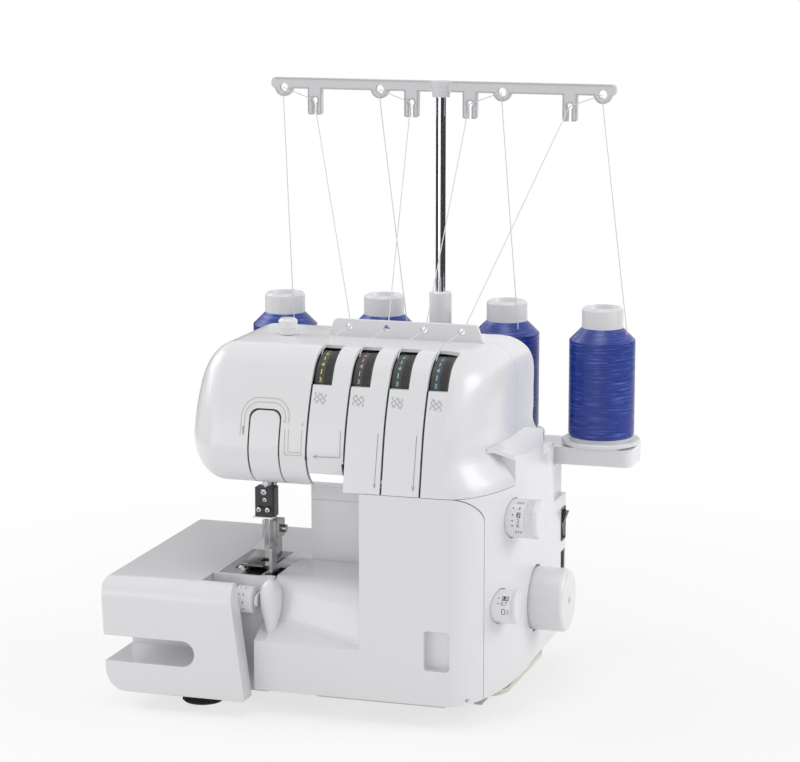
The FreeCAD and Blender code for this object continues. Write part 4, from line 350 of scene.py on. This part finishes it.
def new_group(name, inputs, outputs):
    """Empty shader group with float inputs and typed outputs, and its two end nodes."""
    group = bpy.data.node_groups.new(name, "ShaderNodeTree")
    for label, value in inputs:
        inlet = group.interface.new_socket(label, in_out="INPUT", socket_type="NodeSocketFloat")
        inlet.default_value = value
    for label, kind in outputs:
        group.interface.new_socket(label, in_out="OUTPUT", socket_type=kind)
    return group, group.nodes.new("NodeGroupInput"), group.nodes.new("NodeGroupOutput")


def moulding_grain():
    """Uneven sheen and faint relief of a moulded or cast surface, on Object coordinates."""
    group, start, end = new_group(
        "moulding_grain", [("Scale", 400.0), ("Relief", 0.05)],
        [("Tone", "NodeSocketFloat"), ("Normal", "NodeSocketVector")])
    place = group.nodes.new("ShaderNodeTexCoord").outputs["Object"]
    fine = add(group, "ShaderNodeTexNoise", Vector=place, Scale=start.outputs["Scale"], Detail=3.0)
    broad = add(group, "ShaderNodeTexNoise", Vector=place, Scale=14.0, Detail=2.0)
    fine_share = 0.4
    tone = math_node(group, "MULTIPLY_ADD", fine.outputs["Fac"], fine_share, broad.outputs["Fac"])
    bump = add(group, "ShaderNodeBump", Strength=start.outputs["Relief"], Distance=0.0004,
               Height=fine.outputs["Fac"])
    group.links.new(tone, end.inputs["Tone"])
    group.links.new(bump.outputs["Normal"], end.inputs["Normal"])
    return group


GRAIN = moulding_grain()


def colour_mix(tree, factor, first, second):
    """Mix of two colours, each a colour value or a socket to link."""
    mix = tree.nodes.new("ShaderNodeMix")
    mix.data_type = "RGBA"
    for label, value in (("Factor", factor), ("A", first), ("B", second)):
        feed(tree, mix.inputs[label], value)
    return mix.outputs["Result"]


def coloured(tree, tone, colour, shade):
    """Colour that drifts between its written value and a slightly darker one with the tone."""
    darker = (*[c * shade for c in colour], 1.0)
    return colour_mix(tree, tone, darker, (*colour, 1.0))


def spread(tree, value, low, high):
    """Maps a tone of about 0.3 to 1.1 to the range low to high."""
    mapped = add(tree, "ShaderNodeMapRange", Value=value, From_Min=0.3, From_Max=1.1,
                 To_Min=low, To_Max=high)
    return mapped.outputs[0]


def new_material(name):
    """Material with nodes, its tree and its shader."""
    made = bpy.data.materials.new(name)
    made.use_nodes = True
    return made, made.node_tree, made.node_tree.nodes["Principled BSDF"]


def finish(name, colour, rough, metal=0.0, shade=0.96, scale=400.0, relief=0.05, coat=0.0,
           swing=0.15):
    """Plain finish with the shared grain: colour and roughness drift a little over the surface."""
    made, tree, shader = new_material(name)
    grain = tree.nodes.new("ShaderNodeGroup")
    grain.node_tree = GRAIN
    grain.inputs["Scale"].default_value = scale
    grain.inputs["Relief"].default_value = relief
    tone = grain.outputs["Tone"]
    settings = {
        "Base Color": coloured(tree, tone, colour, shade),
        "Roughness": spread(tree, tone, rough * (1 - swing), rough * (1 + swing)),
        "Normal": grain.outputs["Normal"],
        "Metallic": metal,
        "Coat Weight": coat,
        "Coat Roughness": 0.2,
    }
    for label, value in settings.items():
        feed(tree, shader.inputs[label], value)
    return made


def stretched_noise(tree, place, around, upright, detail):
    """Noise drawn out round the spool: around and upright are its scales across and along Z."""
    flat = add(tree, "ShaderNodeMapping", Vector=place, Scale=(around, around, upright))
    noise = add(tree, "ShaderNodeTexNoise", Vector=flat.outputs["Vector"], Scale=1.0, Detail=detail)
    return noise.outputs["Fac"]


def wound_thread():
    """Satin blue yarn: fine level lines from bands of Z, and sparse paler streaks painted into the
    colour as highlights of shining wraps.
    """
    made, tree, shader = new_material("wound_thread")
    yarn, painted_glint = (0.022, 0.056, 0.39), (0.13, 0.21, 0.74, 1.0)
    place = tree.nodes.new("ShaderNodeTexCoord").outputs["Object"]
    lines = stretched_noise(tree, place, 30.0, 2600.0, 2.0)
    glint_noise = stretched_noise(tree, place, 55.0, 1100.0, 3.0)
    # The paler blue mixed in along these noise streaks is a painted highlight, not a lit sheen.
    glint_mask = add(tree, "ShaderNodeMapRange", Value=glint_noise, From_Min=0.54, From_Max=0.80)
    colour = colour_mix(tree, glint_mask.outputs[0], coloured(tree, lines, yarn, 0.35), painted_glint)
    tree.links.new(colour, shader.inputs["Base Color"])
    tree.links.new(spread(tree, lines, 0.20, 0.38), shader.inputs["Roughness"])
    bump = add(tree, "ShaderNodeBump", Strength=0.4, Distance=0.0003, Height=lines)
    tree.links.new(bump.outputs["Normal"], shader.inputs["Normal"])
    shader.inputs["Anisotropic"].default_value = 0.6
    return made


def finishes(rows):
    """Finishes by name, from rows of a name, a colour, a roughness and what else differs."""
    return {name: finish(name, colour, rough, **more) for name, colour, rough, more in rows}


FINISHES = finishes([
    ("white_cover", (0.80, 0.80, 0.82), 0.25,
     {"coat": 0.2, "relief": 0.0, "shade": 0.975, "swing": 0.03}),
    ("white_trim", (0.76, 0.76, 0.775), 0.32, {"relief": 0.0, "shade": 0.975}),
    ("cream_base", (0.80, 0.78, 0.68), 0.42, {"relief": 0.04}),
    ("dark_trim", (0.030, 0.032, 0.034), 0.38, {"shade": 0.8, "relief": 0.06}),
    ("dial_wheel", (0.062, 0.065, 0.062), 0.42, {"shade": 0.85, "relief": 0.04}),
    ("shaded_trim", (0.66, 0.66, 0.675), 0.36, {"relief": 0.0, "shade": 0.97}),
    # darker grey for the guide bar's bead: painted shade along its rim
    ("rim_painted_shade", (0.50, 0.50, 0.51), 0.36, {"relief": 0.0, "shade": 0.95}),
    ("grey_socket", (0.20, 0.20, 0.21), 0.45, {"shade": 0.9}),
    ("dark_steel", (0.36, 0.36, 0.36), 0.2, {"metal": 1.0, "shade": 0.8}),
    ("grey_ink", (0.28, 0.28, 0.30), 0.5, {"shade": 0.9, "relief": 0.0}),
    ("beige_ink", (0.50, 0.47, 0.38), 0.5, {"shade": 0.9, "relief": 0.0}),
    ("black_ink", (0.02, 0.02, 0.022), 0.5, {"shade": 0.8, "relief": 0.0}),
    ("pale_ink", (0.80, 0.80, 0.82), 0.5, {"shade": 0.95, "relief": 0.0}),
    ("black_rubber", (0.018, 0.018, 0.019), 0.75, {"shade": 0.8, "relief": 0.2}),
    ("cast_alloy", (0.42, 0.42, 0.43), 0.5, {"metal": 0.9, "relief": 0.3, "scale": 900.0}),
    ("steel", (0.62, 0.63, 0.65), 0.24, {"metal": 1.0, "shade": 0.9}),
    ("bright_chrome", (0.80, 0.81, 0.83), 0.10, {"metal": 1.0, "shade": 0.95, "relief": 0.0}),
    ("bush_metal", (0.62, 0.45, 0.20), 0.32, {"metal": 1.0, "shade": 0.9}),
    ("pale_thread", (0.74, 0.75, 0.79), 0.6, {"shade": 0.85, "scale": 1500.0, "relief": 0.2}),
])
FINISHES["blue_thread"] = wound_thread()


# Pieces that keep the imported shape

def packed_shell(node_name, body, look):
    """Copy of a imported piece: triangles joined up, flat areas dissolved, smooth up to an edge."""
    flat_angle = math.radians(0.4)
    name = "shell_" + node_name
    work = bmesh.new()
    work.from_mesh(frame["nodes"][node_name].data)
    bmesh.ops.remove_doubles(work, verts=work.verts, dist=2e-6)
    bmesh.ops.dissolve_limit(work, angle_limit=flat_angle, verts=work.verts, edges=work.edges)
    mesh = bpy.data.meshes.new(name)
    work.to_mesh(mesh)
    work.free()
    if "custom_normal" in mesh.attributes:
        mesh.attributes.remove(mesh.attributes["custom_normal"])
    dressed(name, mesh, body, look, 28.0, (node_name,))


LOOKS = {  # nodes whose finish is not that of their slot
    "guide_bar": "shaded_trim",
    "tension_discs": "dark_steel",
    "presser_foot": "dark_steel",
    "upper_knife": "dark_steel",
    "lower_knife": "dark_steel",
    "controller_socket": "grey_socket",
}


def packed_pieces(skip):
    """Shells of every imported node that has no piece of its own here."""
    record = frame["record"]
    body_of = {n: b for b, names in record["behaviour"]["bodies"].items() for n in names}
    for part in record["subparts"]:
        node = part["node"]
        slot = part["material_slot"]
        if node not in skip:
            packed_shell(node, body_of[node], FINISHES[LOOKS.get(node, slot)])


# Tension dials

def tension_dial(number, ink):
    """Ribbed wheel with a smooth band for its digits.

    A thin flange on its left covers the thread's gap beside it.
    """
    x0 = SLITS[number] + 1.4
    bore, rim = 4.1, DIAL_R
    turns = 960
    profile = [
        (bore, 0.0), (rim - 6.0, 0.0), (rim - 6.0, -1.5), (rim, -1.5), (rim, 1.0),
        (rim - 0.3, 1.2), (rim - 0.3, 5.2), (rim, 5.4), (rim, 5.8), (rim - 0.35, 6.2),
        (rim - 0.35, 11.4), (rim, 11.8), (rim, 12.6), (rim - 0.8, 13.4), (bore, 13.4),
    ]
    ribs = rim_ribs(len(profile), slice(9, 11), 0.35, 2.2, 120)
    points, faces = turned_surface(profile, turns, (x0, *DIAL_AXIS), "x", ribs)
    bore_wall = grid_faces(2, turns, closed=True)
    to_last_ring = turns * (len(profile) - 2)
    bore_wall = np.where(bore_wall >= turns, bore_wall + to_last_ring, bore_wall)[:, ::-1]
    name = "tension_dial_%d" % (number + 1)
    body = "tension_%d" % (number + 1)
    piece("wheel_" + name, (points, [faces, bore_wall]), body, FINISHES["dial_wheel"],
          25.0, (name,))
    digit_x, digit_r = x0 + 2.8, rim - 0.22
    marks = []
    for digit in range(10):
        angle = 72.0 - DIGIT_STEP * (digit - 3)
        marks.append(on_drum(flat_text(str(digit), 3.5, 0.09), digit_x, angle, DIAL_AXIS, digit_r))
        if digit < 9:
            half_way = angle - DIGIT_STEP / 2
            marks.append(on_drum(flat_bar(0.8, 4.2), digit_x, half_way, DIAL_AXIS, digit_r))
    print_finish = finish("dial_ink_%d" % (number + 1), ink, 0.5, shade=0.9)
    piece("digits_" + name, joined(marks), body, print_finish)


def tension_dials():
    """Four dials, each with digits in its own thread colour."""
    inks = [(0.90, 0.76, 0.06), (0.80, 0.42, 0.48), (0.30, 0.72, 0.50), (0.32, 0.62, 0.95)]
    for number, ink in enumerate(inks):
        tension_dial(number, ink)


# Setting dials on the right side and in front of the bed

def rounded_end(radius, face_x, bend, steps=5):
    """Profile of a drum's outer edge: a quarter round of the given bend from rim to face."""
    t = np.linspace(0, math.pi / 2, steps)
    return [(radius - bend + bend * math.cos(a), face_x - bend + bend * math.sin(a)) for a in t]


def setting_dial(node_name, body, axis, radius, face_x, grip):
    """Drum dial on a stem; its grip band, from grip[0] to grip[1], carries 64 fine ribs."""
    dip = 0.3
    profile = [
        (0.0, 98.0), (4.0, 98.0), (4.0, 110.0), (radius, 110.0), (radius, grip[0] - 0.3),
        (radius - dip, grip[0]), (radius - dip, grip[1]), (radius, grip[1] + 0.3),
        *rounded_end(radius, face_x, 1.8), (0.0, face_x),
    ]
    ribs = rim_ribs(len(profile), slice(5, 7), dip, 2.0, 64)
    shape = turned_surface(profile, 512, (0.0, *axis), "x", ribs)
    piece("drum_" + node_name, shape, body, FINISHES["white_cover"], 28.0,
          (node_name,))


def boxed_number(words, height, x, angle, axis, radius):
    """Pale number on a black field, as the two parts field and number."""
    box = flat_bar(height * (0.55 + 0.5 * len(words)), height * 1.5, 6)
    field = on_drum(box, x, angle, axis, radius + LOW_INK)
    digits = flat_text(words, height * 1.15, 0.08)
    number = on_drum(digits, x, angle, axis, radius + 2 * LOW_INK)
    return field, number


def dial_prints(label, boxed, marks, axis, radius):
    """Black marks, each a flat mark with its x and angle, and the boxed number of a dial."""
    field, number = boxed
    black = [field] + [on_drum(*mark, axis, radius + INK) for mark in marks]
    piece("marks_" + label, joined(black), label, FINISHES["black_ink"])
    piece("number_" + label, joined([number]), label, FINISHES["pale_ink"])


def length_dial():
    """Stitch length dial: numbers, a letter, stitch signs and a dot beside each setting."""
    axis, radius, x = (-60.0, 153.0), 15.0, 129.6
    setting_dial("stitch_length_dial", "length_dial", axis, radius, 144.0, (134.0, 140.2))
    boxed = boxed_number("3", 2.7, x, 68, axis, radius)
    marks = [(flat_text(w, 2.9), x, angle) for w, angle in (("4", 47), ("2", 85), ("R", 100))]
    marks += [(flat_dot(0.6), x - 4.6, angle) for angle in (47, 68, 85, 100)]
    for u in (-2.0, 0.0, 2.0):
        marks += [(flat_wave(1.1, 2.6, 1, PRINT_LINE), x + u, angle) for angle in (26, 121)]
    dial_prints("length_dial", boxed, marks, axis, radius)


def ratio_dial():
    """Feed ratio dial: two numbers with dots and a sign for stretched cloth."""
    axis, radius, x = (-79.5, 88.3), 13.0, 124.0
    setting_dial("feed_ratio_dial", "ratio_dial", axis, radius, 132.5, (128.2, 130.4))
    boxed = boxed_number("1.0", 2.5, x, 48, axis, radius)
    square = flat_path([(-1.3, -1.9), (1.3, -1.9), (1.3, 1.9), (-1.3, 1.9), (-1.3, -1.9)])
    marks = [(flat_text("0.7", 2.9), x - 0.6, 67)]
    marks += [(flat_dot(0.55), x - 5.2, angle) for angle in (48, 67)]
    marks.append((flat_stroke(square, PRINT_LINE), x - 0.8, 94))
    marks += [(flat_dot(0.5), x + 2.6, angle) for angle in (90, 98)]
    dial_prints("ratio_dial", boxed, marks, axis, radius)


def width_dial_marks():
    """Small numbers on the stitch width dial in front of the bed."""
    axis, radius, x = (-111.0, 86.0), 10.5, -77.0
    marks = []
    for step, words in enumerate(("4", "5", "6", "7")):
        angle = 20 + 34 * step
        marks.append(on_drum(flat_text(words, 2.2), x + 1.0, angle, axis, radius + LOW_INK))
        marks.append(on_drum(flat_bar(1.6, 0.5, 1), x - 2.6, angle, axis, radius + LOW_INK))
    piece("marks_width_dial", joined(marks), "width_dial", FINISHES["black_ink"])


# Prints, painted shade and small fittings of the head

def arch(half, top, low, bend):
    """Arch line round the take-up cover: two uprights and rounded corners, as (x, z) points."""
    x0 = -60.5
    t = np.linspace(0, math.pi / 2, 9)
    left = np.stack([x0 - half + bend - bend * np.cos(t), top - bend + bend * np.sin(t)], -1)
    right = np.stack([x0 + half - bend + bend * np.sin(t), top - bend + bend * np.cos(t)], -1)
    rise = flat_path([(x0 - half, low), left[0]], 10)
    fall = flat_path([right[-1], (x0 + half, low + 14)], 8)
    return np.concatenate([rise, left[1:], right, fall[1:]])


def threading_lines():
    """Lines and thread numbers round the take-up cover and beside it."""
    lines = [arch(16.4, 240.6, 215.0, 11.0), arch(19.2, 243.8, 215.0, 13.5)]
    for corners in ([(-44.0, 222.0), (-43.4, 202.8), (-29.6, 202.8), (-29.6, 204.0)],
                    [(-41.0, 222.0), (-40.5, 205.0), (-30.2, 205.0), (-30.2, 222.0)]):
        lines.append(flat_path(corners, 60))
    beige = [flat_stroke(line, PRINT_LINE) for line in lines]
    for words, x, z in (("6", -44.6, 228.0), ("5", -41.4, 228.0), ("4", -30.4, 226.2)):
        beige.append(shifted(flat_text(words, 2.8), x, z))
    prints = joined([on_front(mark, chin_depth) for mark in beige])
    piece("threading_lines", prints, "machine", FINISHES["beige_ink"])


def knob_arrows():
    """Arrows on the head's top, one to each side of the pressure knob, that point away from it."""
    print_z = 280.08
    low, high = (np.asarray(corner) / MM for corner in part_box("pressure_knob"))
    middle = (low + high) / 2
    arrows = []
    for turn in (-1, 1):
        tip = np.array([[3.0, 0.0], [0.0, 1.6], [0.0, -1.6]]) * np.array([turn, turn])
        flat = tip + middle[:2] + np.array([7.8 * turn, 0.0])
        points = np.concatenate([flat, np.full((3, 1), print_z)], 1)
        arrows.append((points, [np.array([[0, 1, 2]])]))
    return arrows


def front_signs():
    """Thread paths with arrow heads, stitch signs by the slits and arrows by the pressure knob."""
    lines = [flat_path([(0.4, 223.2), (1.2, 203.4), (-19.8, 203.0)], 60)]
    for x in (30.2, 60.5):
        lines.append(flat_path([(x, 223.0), (x - 0.4, 183.0)], 40))
        lines.append([(x - 1.6, 186.0), (x - 0.4, 182.8), (x + 0.8, 186.0)])
    lines.append([(-17.0, 204.4), (-20.0, 203.0), (-17.0, 201.6)])
    grey = [flat_stroke(flat_path([(-77.8, 222.4), (-77.4, 216.6)], 4), 2 * PRINT_LINE)]
    grey += [flat_stroke(line, PRINT_LINE) for line in lines]
    for number, slit in enumerate(SLITS):
        for step, u in enumerate((-3.6, -1.2, 1.2, 3.6)):
            turn = -1 if (step + number) % 2 else 1
            wave = flat_wave(1.7 * turn, 7.4, 2, 0.38)
            grey.append(shifted(wave, slit + 7.8 + u, 245.6 - 0.15 * u))
    signs = [on_front(mark, face_depth) for mark in grey] + knob_arrows()
    piece("front_signs", joined(signs), "machine", FINISHES["grey_ink"])


def gap_liners():
    """Black strips sunk just behind the slits and the gap round the take-up cover: painted shade,
    so that the openings look dark inside.
    """
    proud = -0.9
    # Black strips 0.9 mm behind the front: painted shade inside the slits and the gap.
    slits = [flat_stroke(flat_path([(slit, 255.0), (slit, 200.0)], 40), 1.5) for slit in SLITS]
    shade_strips = [on_front(mark, face_depth, proud) for mark in slits]
    gap = flat_stroke(arch(12.35, 235.35, 186.0, 6.7), 1.7)
    shade_strips.append(on_front(gap, chin_depth, proud))
    piece("gap_liners", joined(shade_strips), "machine", FINISHES["black_ink"])


def light_lens():
    """Milky lens of the sewing light in the chin of the first strip: a patch of its outline, with a
    faint painted glow.
    """
    rows, columns = 14, 12
    x, z = np.meshgrid(np.linspace(-24.6, 2.7, columns), np.linspace(181.2, 188.6, rows))
    patch = np.stack([x, chin_depth(z) - 0.15, z], -1).reshape(-1, 3)
    milky = finish("milky_lens", (0.95, 0.95, 0.95), 0.2, shade=0.98, relief=0.0)
    shader = milky.node_tree.nodes["Principled BSDF"]
    # Faint white emission: a painted glow, with no lamp behind the lens.
    shader.inputs["Emission Color"].default_value = (1.0, 1.0, 1.0, 1.0)
    shader.inputs["Emission Strength"].default_value = 0.35
    piece("light_lens", (patch, grid_faces(rows, columns)), "machine", milky)


def screw_head(x, z, face_y, radius, height):
    """Domed screw head facing the front: a turned dome whose axis runs along -Y."""
    t = np.linspace(0, math.pi / 2, 6)
    profile = np.stack([radius * np.cos(t), height * (0.45 + 0.55 * np.sin(t))], -1)
    profile = np.concatenate([[[radius, 0.0]], profile])
    points, faces = turned_surface(profile, 24, (0, 0, 0), "z")
    return np.stack([x + points[:, 0], face_y - points[:, 2], z + points[:, 1]], -1), [faces]


def facing_front(flat, x, y, z, turn=0.0):
    """Flat mark turned in its plane and set upright at a point, facing the front."""
    points, faces = flat
    u = points[:, 0] * math.cos(turn) - points[:, 1] * math.sin(turn)
    v = points[:, 0] * math.sin(turn) + points[:, 1] * math.cos(turn)
    return np.stack([x + u, np.full(len(u), y), z + v], -1), faces


def block(near, far, low, high):
    """Plain block between two (x, y) corners and two heights."""
    x, y, z = np.meshgrid((near[0], far[0]), (near[1], far[1]), (low, high), indexing="ij")
    points = np.stack([x, y, z], -1).reshape(-1, 3)
    faces = [(0, 1, 3, 2), (4, 6, 7, 5), (0, 4, 5, 1), (2, 3, 7, 6), (0, 2, 6, 4), (1, 5, 7, 3)]
    return points, np.array(faces)


def clamp_screws():
    """Bright screws on the needle clamp, with black marks on the domed heads as painted shade for
    their slots and a black dot between the lower pair, and a thread guide under it.
    """
    spots = [  # x, z, face y, radius and height
        (-78.0, 161.0, -66.5, 2.6, 1.5),
        (-77.2, 154.6, -66.5, 1.9, 1.2),
        (-81.6, 147.0, -68.5, 2.0, 0.8),
        (-74.4, 147.0, -68.5, 2.0, 0.8),
    ]
    heads = [screw_head(*spot) for spot in spots]
    piece("clamp_screws", joined(heads), "needle_drive", FINISHES["steel"], 40.0)
    # Slots are not cut: black marks on the heads stand in for the shade inside them.
    slot_shade_marks = []
    for x, z, y, radius, height in spots:
        bar = flat_bar(0.5, radius * 1.3, 1)
        for turn in (0.6, 0.6 + math.pi / 2):
            slot_shade_marks.append(facing_front(bar, x, y - height - 0.03, z, turn))
    slot_shade_marks.append(facing_front(flat_dot(1.6), -78.0, -68.55, 147.0))
    piece("clamp_slot_shade", joined(slot_shade_marks), "needle_drive", FINISHES["black_ink"])
    strip = block((-86.5, -69.5), (-70.5, -66.0), 140.2, 141.4)
    piece("clamp_guide", strip, "needle_drive", FINISHES["bright_chrome"], 30.0, (), True)


# Thread

def spool_windings():
    """Yarn on the four spools: the winding's outline with a small random swell between wraps."""
    rng = np.random.default_rng(4)
    foot = [2.5, 3.2, 4.2, 5.0]
    top, core_r = 91.0, 14.0
    side = np.arange(5.5, 81.0, 0.55)
    shoulder = np.arange(81.0, top, 0.5)
    z = np.concatenate([foot, side, shoulder, [top]])
    r = np.interp(z, [foot[0], foot[-1], 81.0, top], [25.7, 26.7, 26.7, 16.7])
    swell = rng.uniform(-0.05, 0.02, len(z))
    swell[:len(foot)] = 0
    swell[-1] = 0
    outline = np.stack([r + swell, z], -1)
    profile = np.concatenate([[[core_r, foot[0]]], outline, [[core_r, top]]])
    spools = [turned_surface(profile, 96, (x, y, PAD_TOP), "z") for x, y in PINS]
    windings = joined([(points, [faces]) for points, faces in spools])
    piece("spool_windings", windings, "machine", FINISHES["blue_thread"], 40.0,
          ("spool_threads",))


def thread_routes():
    """Control points of each thread: up from the spool, down from the guide bar, into the slit.

    A long taut run has one more point close to the eye or hook at its end.
    """
    bar_eyes = [-116.1, -33.5, 69.3, 151.9]
    hooks = [-89.3, -6.7, 42.5, 125.1]
    plate_eyes = [-22.0, 8.5, 39.0, 69.5]
    starts = [(14.2, -18.1), (21.9, -7.1), (14.2, -18.1), (21.9, -7.1)]
    bar_y = 91.9
    rise = [[(x + out_x, y + out_y, 273.0), (eye, bar_y, 457.6), (eye, bar_y, 462.5)]
            for (x, y), (out_x, out_y), eye in zip(PINS, starts, bar_eyes)]
    fall = []
    for eye, hook, low in zip(bar_eyes, hooks, plate_eyes):
        run = low - hook
        fall.append([
            (eye, bar_y, 464.0), (hook + 0.18 * (eye - hook), bar_y, 455.8), (hook, bar_y, 454.0),
            (hook + 0.025 * run, 89.2, 449.8), (low - 0.025 * run, -14.8, 292.2),
            (low, -17.5, 288.1),
        ])
    lead = []
    for eye, slit in zip(plate_eyes, SLITS):
        lead.append([
            (eye, -17.6, 287.7), (eye - 0.6, -26.0, 287.3), (slit, -64.5, 282.6),
            (slit, -70.0, 280.8), (slit, -76.5, 273.9),
        ])
    return {"rise": rise, "fall": fall, "lead": lead}


def threads():
    """Threads as thin tubes; those of the tree hang on its body and get a mesh of their own."""
    for label, routes in thread_routes().items():
        on_tree = label != "lead"
        body = "thread_tree" if on_tree else "machine"
        for number, route in enumerate(routes):
            path = smooth_line(route)
            swaps = ("threads_" + label,) if number == 0 else ()
            obj = piece("thread_%s_%d" % (label, number + 1), tube(path, 0.4), body,
                        FINISHES["pale_thread"], 60.0, swaps, True)
            if on_tree:
                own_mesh(obj)


# Guide bar

def arc_points(centre, radius, first, last, count=9):
    """Points on a flat arc: centre + radius (cos t, sin t) for t from first to last in degrees."""
    t = np.radians(np.linspace(first, last, count))
    return [(centre[0] + radius * c, centre[1] + radius * s) for c, s in zip(np.cos(t), np.sin(t))]


def bar_rim():
    """Bead round the guide bar's front face: one tube along its top edge, one along its lower edge.

    The lower one runs under each eye as an arc, and down, round and up each fork of a hook. The
    bead is a darker grey than the bar: painted shade along the rim, beside the bead's own relief.
    """
    pole, front, edge, tip, top = 17.9, 92.9, 463.8, 442.9, 471.1
    end, inner = -141.0, -9.5
    beads = []
    for side in (-1, 1):
        outline = []
        for eye, hook in ((134.0, 107.2), (51.4, 24.6)):
            outline += arc_points((-eye, 464.0), 6.7, 182, 358)
            outline += [(-hook - 5.2, edge), (-hook - 5.2, tip), (-hook - 2.3, tip)]
            outline += arc_points((-hook, 454.0), 3.3, 225, -45)
            outline += [(-hook + 2.3, tip), (-hook + 5.2, tip), (-hook + 5.2, edge)]
        outline.append((inner, edge))
        for corners, count in ((outline, 480), ([(end, top), (inner, top)], 12)):
            u, v = flat_path(corners, count).T
            path = np.stack([pole - side * u, np.full(count, front), v], -1)
            beads.append(tube(path, 0.45, 6))
    # Darker grey than the bar: painted shade along the bead.
    piece("guide_bar_rim", joined(beads), "thread_tree", FINISHES["rim_painted_shade"], 50.0,
          (), True)


# Stage

def seen_directly(tree):
    """1 for camera, glossy and transmission rays, 0 for the light that falls on the object."""
    ways = tree.nodes.new("ShaderNodeLightPath").outputs
    either = math_node(tree, "MAXIMUM", ways["Is Camera Ray"], ways["Is Glossy Ray"])
    return math_node(tree, "MAXIMUM", either, ways["Is Transmission Ray"])


def surroundings():
    """White surroundings: full white to the camera and in reflections, weaker as light."""
    scene = bpy.context.scene
    scene.view_settings.view_transform = "Standard"
    world = bpy.data.worlds.new("white_surroundings")
    scene.world = world
    world.use_nodes = True
    tree = world.node_tree
    tree.nodes.clear()
    strength = add(tree, "ShaderNodeMapRange", Value=seen_directly(tree), To_Min=0.50, To_Max=1.0)
    lit = add(tree, "ShaderNodeBackground", Color=(1.0, 1.0, 1.0, 1.0),
              Strength=strength.outputs[0])
    end = tree.nodes.new("ShaderNodeOutputWorld")
    tree.links.new(lit.outputs[0], end.inputs["Surface"])


def floor():
    """Pale floor: mostly white to the camera, with the object's shadow left on it."""
    half = 6.0
    mesh = bpy.data.meshes.new("floor")
    corners = [(-half, -half, 0), (half, -half, 0), (half, half, 0), (-half, half, 0)]
    mesh.from_pydata(corners, [], [(0, 1, 2, 3)])
    pale = bpy.data.materials.new("pale_floor")
    pale.use_nodes = True
    tree = pale.node_tree
    tree.nodes.clear()
    matt = add(tree, "ShaderNodeBsdfDiffuse", Color=(0.88, 0.88, 0.88, 1.0))
    white = add(tree, "ShaderNodeEmission", Color=(1.0, 1.0, 1.0, 1.0), Strength=1.0)
    away = tree.nodes.new("ShaderNodeVectorMath")
    away.operation = "LENGTH"
    place = tree.nodes.new("ShaderNodeTexCoord").outputs["Object"]
    tree.links.new(place, away.inputs[0])
    fade = add(tree, "ShaderNodeMapRange", Value=away.outputs["Value"], From_Min=0.25,
               From_Max=0.75, To_Min=0.72, To_Max=1.0)
    share = math_node(tree, "MULTIPLY", seen_directly(tree), fade.outputs[0])
    mix = add(tree, "ShaderNodeMixShader", Fac=share)
    tree.links.new(matt.outputs[0], mix.inputs[1])
    tree.links.new(white.outputs[0], mix.inputs[2])
    end = tree.nodes.new("ShaderNodeOutputMaterial")
    tree.links.new(mix.outputs[0], end.inputs["Surface"])
    mesh.materials.append(pale)
    obj = placed("floor", mesh)


def dark_card(name, first, last):
    """Curved dark card between two azimuths, seen only in reflections, for contrast on metal."""
    away, height, steps = 1.4, 0.55, 9
    azimuth = np.radians(np.linspace(first, last, steps))
    low = np.stack([away * np.sin(azimuth), -away * np.cos(azimuth), np.full(steps, 0.01)], -1)
    points = np.concatenate([low, low + np.array([0, 0, height])])
    mesh = bpy.data.meshes.new(name)
    mesh.from_pydata(points.tolist(), [], grid_faces(2, steps).tolist())
    mesh.materials.append(FINISHES["black_rubber"])
    obj = placed(name, mesh)
    obj.visible_camera = False
    obj.visible_diffuse = False
    obj.visible_shadow = False
    obj.visible_transmission = False


def lamp(name, place, aim, size, power):
    """Square soft lamp turned towards a point."""
    light = bpy.data.lights.new(name, "AREA")
    light.size = size
    light.energy = power
    obj = placed(name, light)
    obj.location = place
    x, y, z = np.asarray(aim, float) - np.asarray(place, float)
    tilt, turn = math.atan2(math.hypot(x, y), -z), math.atan2(y, x) - math.pi / 2
    obj.rotation_euler = (tilt, 0.0, turn)


def lighting():
    """Five soft lamps round the machine, and two dark cards for reflections."""
    dark_card("dark_card_right", 6.0, 150.0)
    dark_card("dark_card_left", -160.0, -43.0)
    middle = (0.0, 0.0, 0.2)
    lamp("lamp_front_low", (-1.3, -1.9, 0.35), middle, 1.2, 7.0)
    lamp("lamp_front", (0.5, -2.3, 0.6), middle, 1.2, 5.5)
    lamp("lamp_overhead", (0.0, -0.3, 2.1), middle, 0.8, 5.5)
    lamp("lamp_right", (2.1, 0.45, 1.1), (0.1, 0.0, 0.15), 1.3, 20.0)
    lamp("lamp_left_rear", (-1.7, 0.2, 1.2), middle, 1.2, 13.0)


def photo_camera():
    """Camera of the photograph, placed by azimuth, elevation and distance from its aim."""
    camera = bpy.data.cameras.new("camera")
    camera.sensor_width = 36.0
    camera.lens = 121.2
    holder = placed("camera", camera)
    azimuth, elevation, away = math.radians(17.28), math.radians(10.58), 2.12596
    aim_x, aim_z = 0.01278, 0.24233
    holder.location = (aim_x + away * math.sin(azimuth) * math.cos(elevation),
                       -away * math.cos(azimuth) * math.cos(elevation),
                       aim_z + away * math.sin(elevation))
    holder.rotation_euler = (math.pi / 2 - elevation, 0.0, azimuth)
    bpy.context.scene.camera = holder


OWN_SHAPES = {
    "tension_dial_1", "tension_dial_2", "tension_dial_3", "tension_dial_4", "spool_threads",
    "threads_rise", "threads_fall", "threads_lead", "stitch_length_dial", "feed_ratio_dial",
}
packed_pieces(OWN_SHAPES)
tension_dials()
length_dial()
ratio_dial()
width_dial_marks()
threading_lines()
front_signs()
gap_liners()
light_lens()
clamp_screws()
spool_windings()
threads()
bar_rim()
surroundings()
floor()
lighting()
photo_camera()
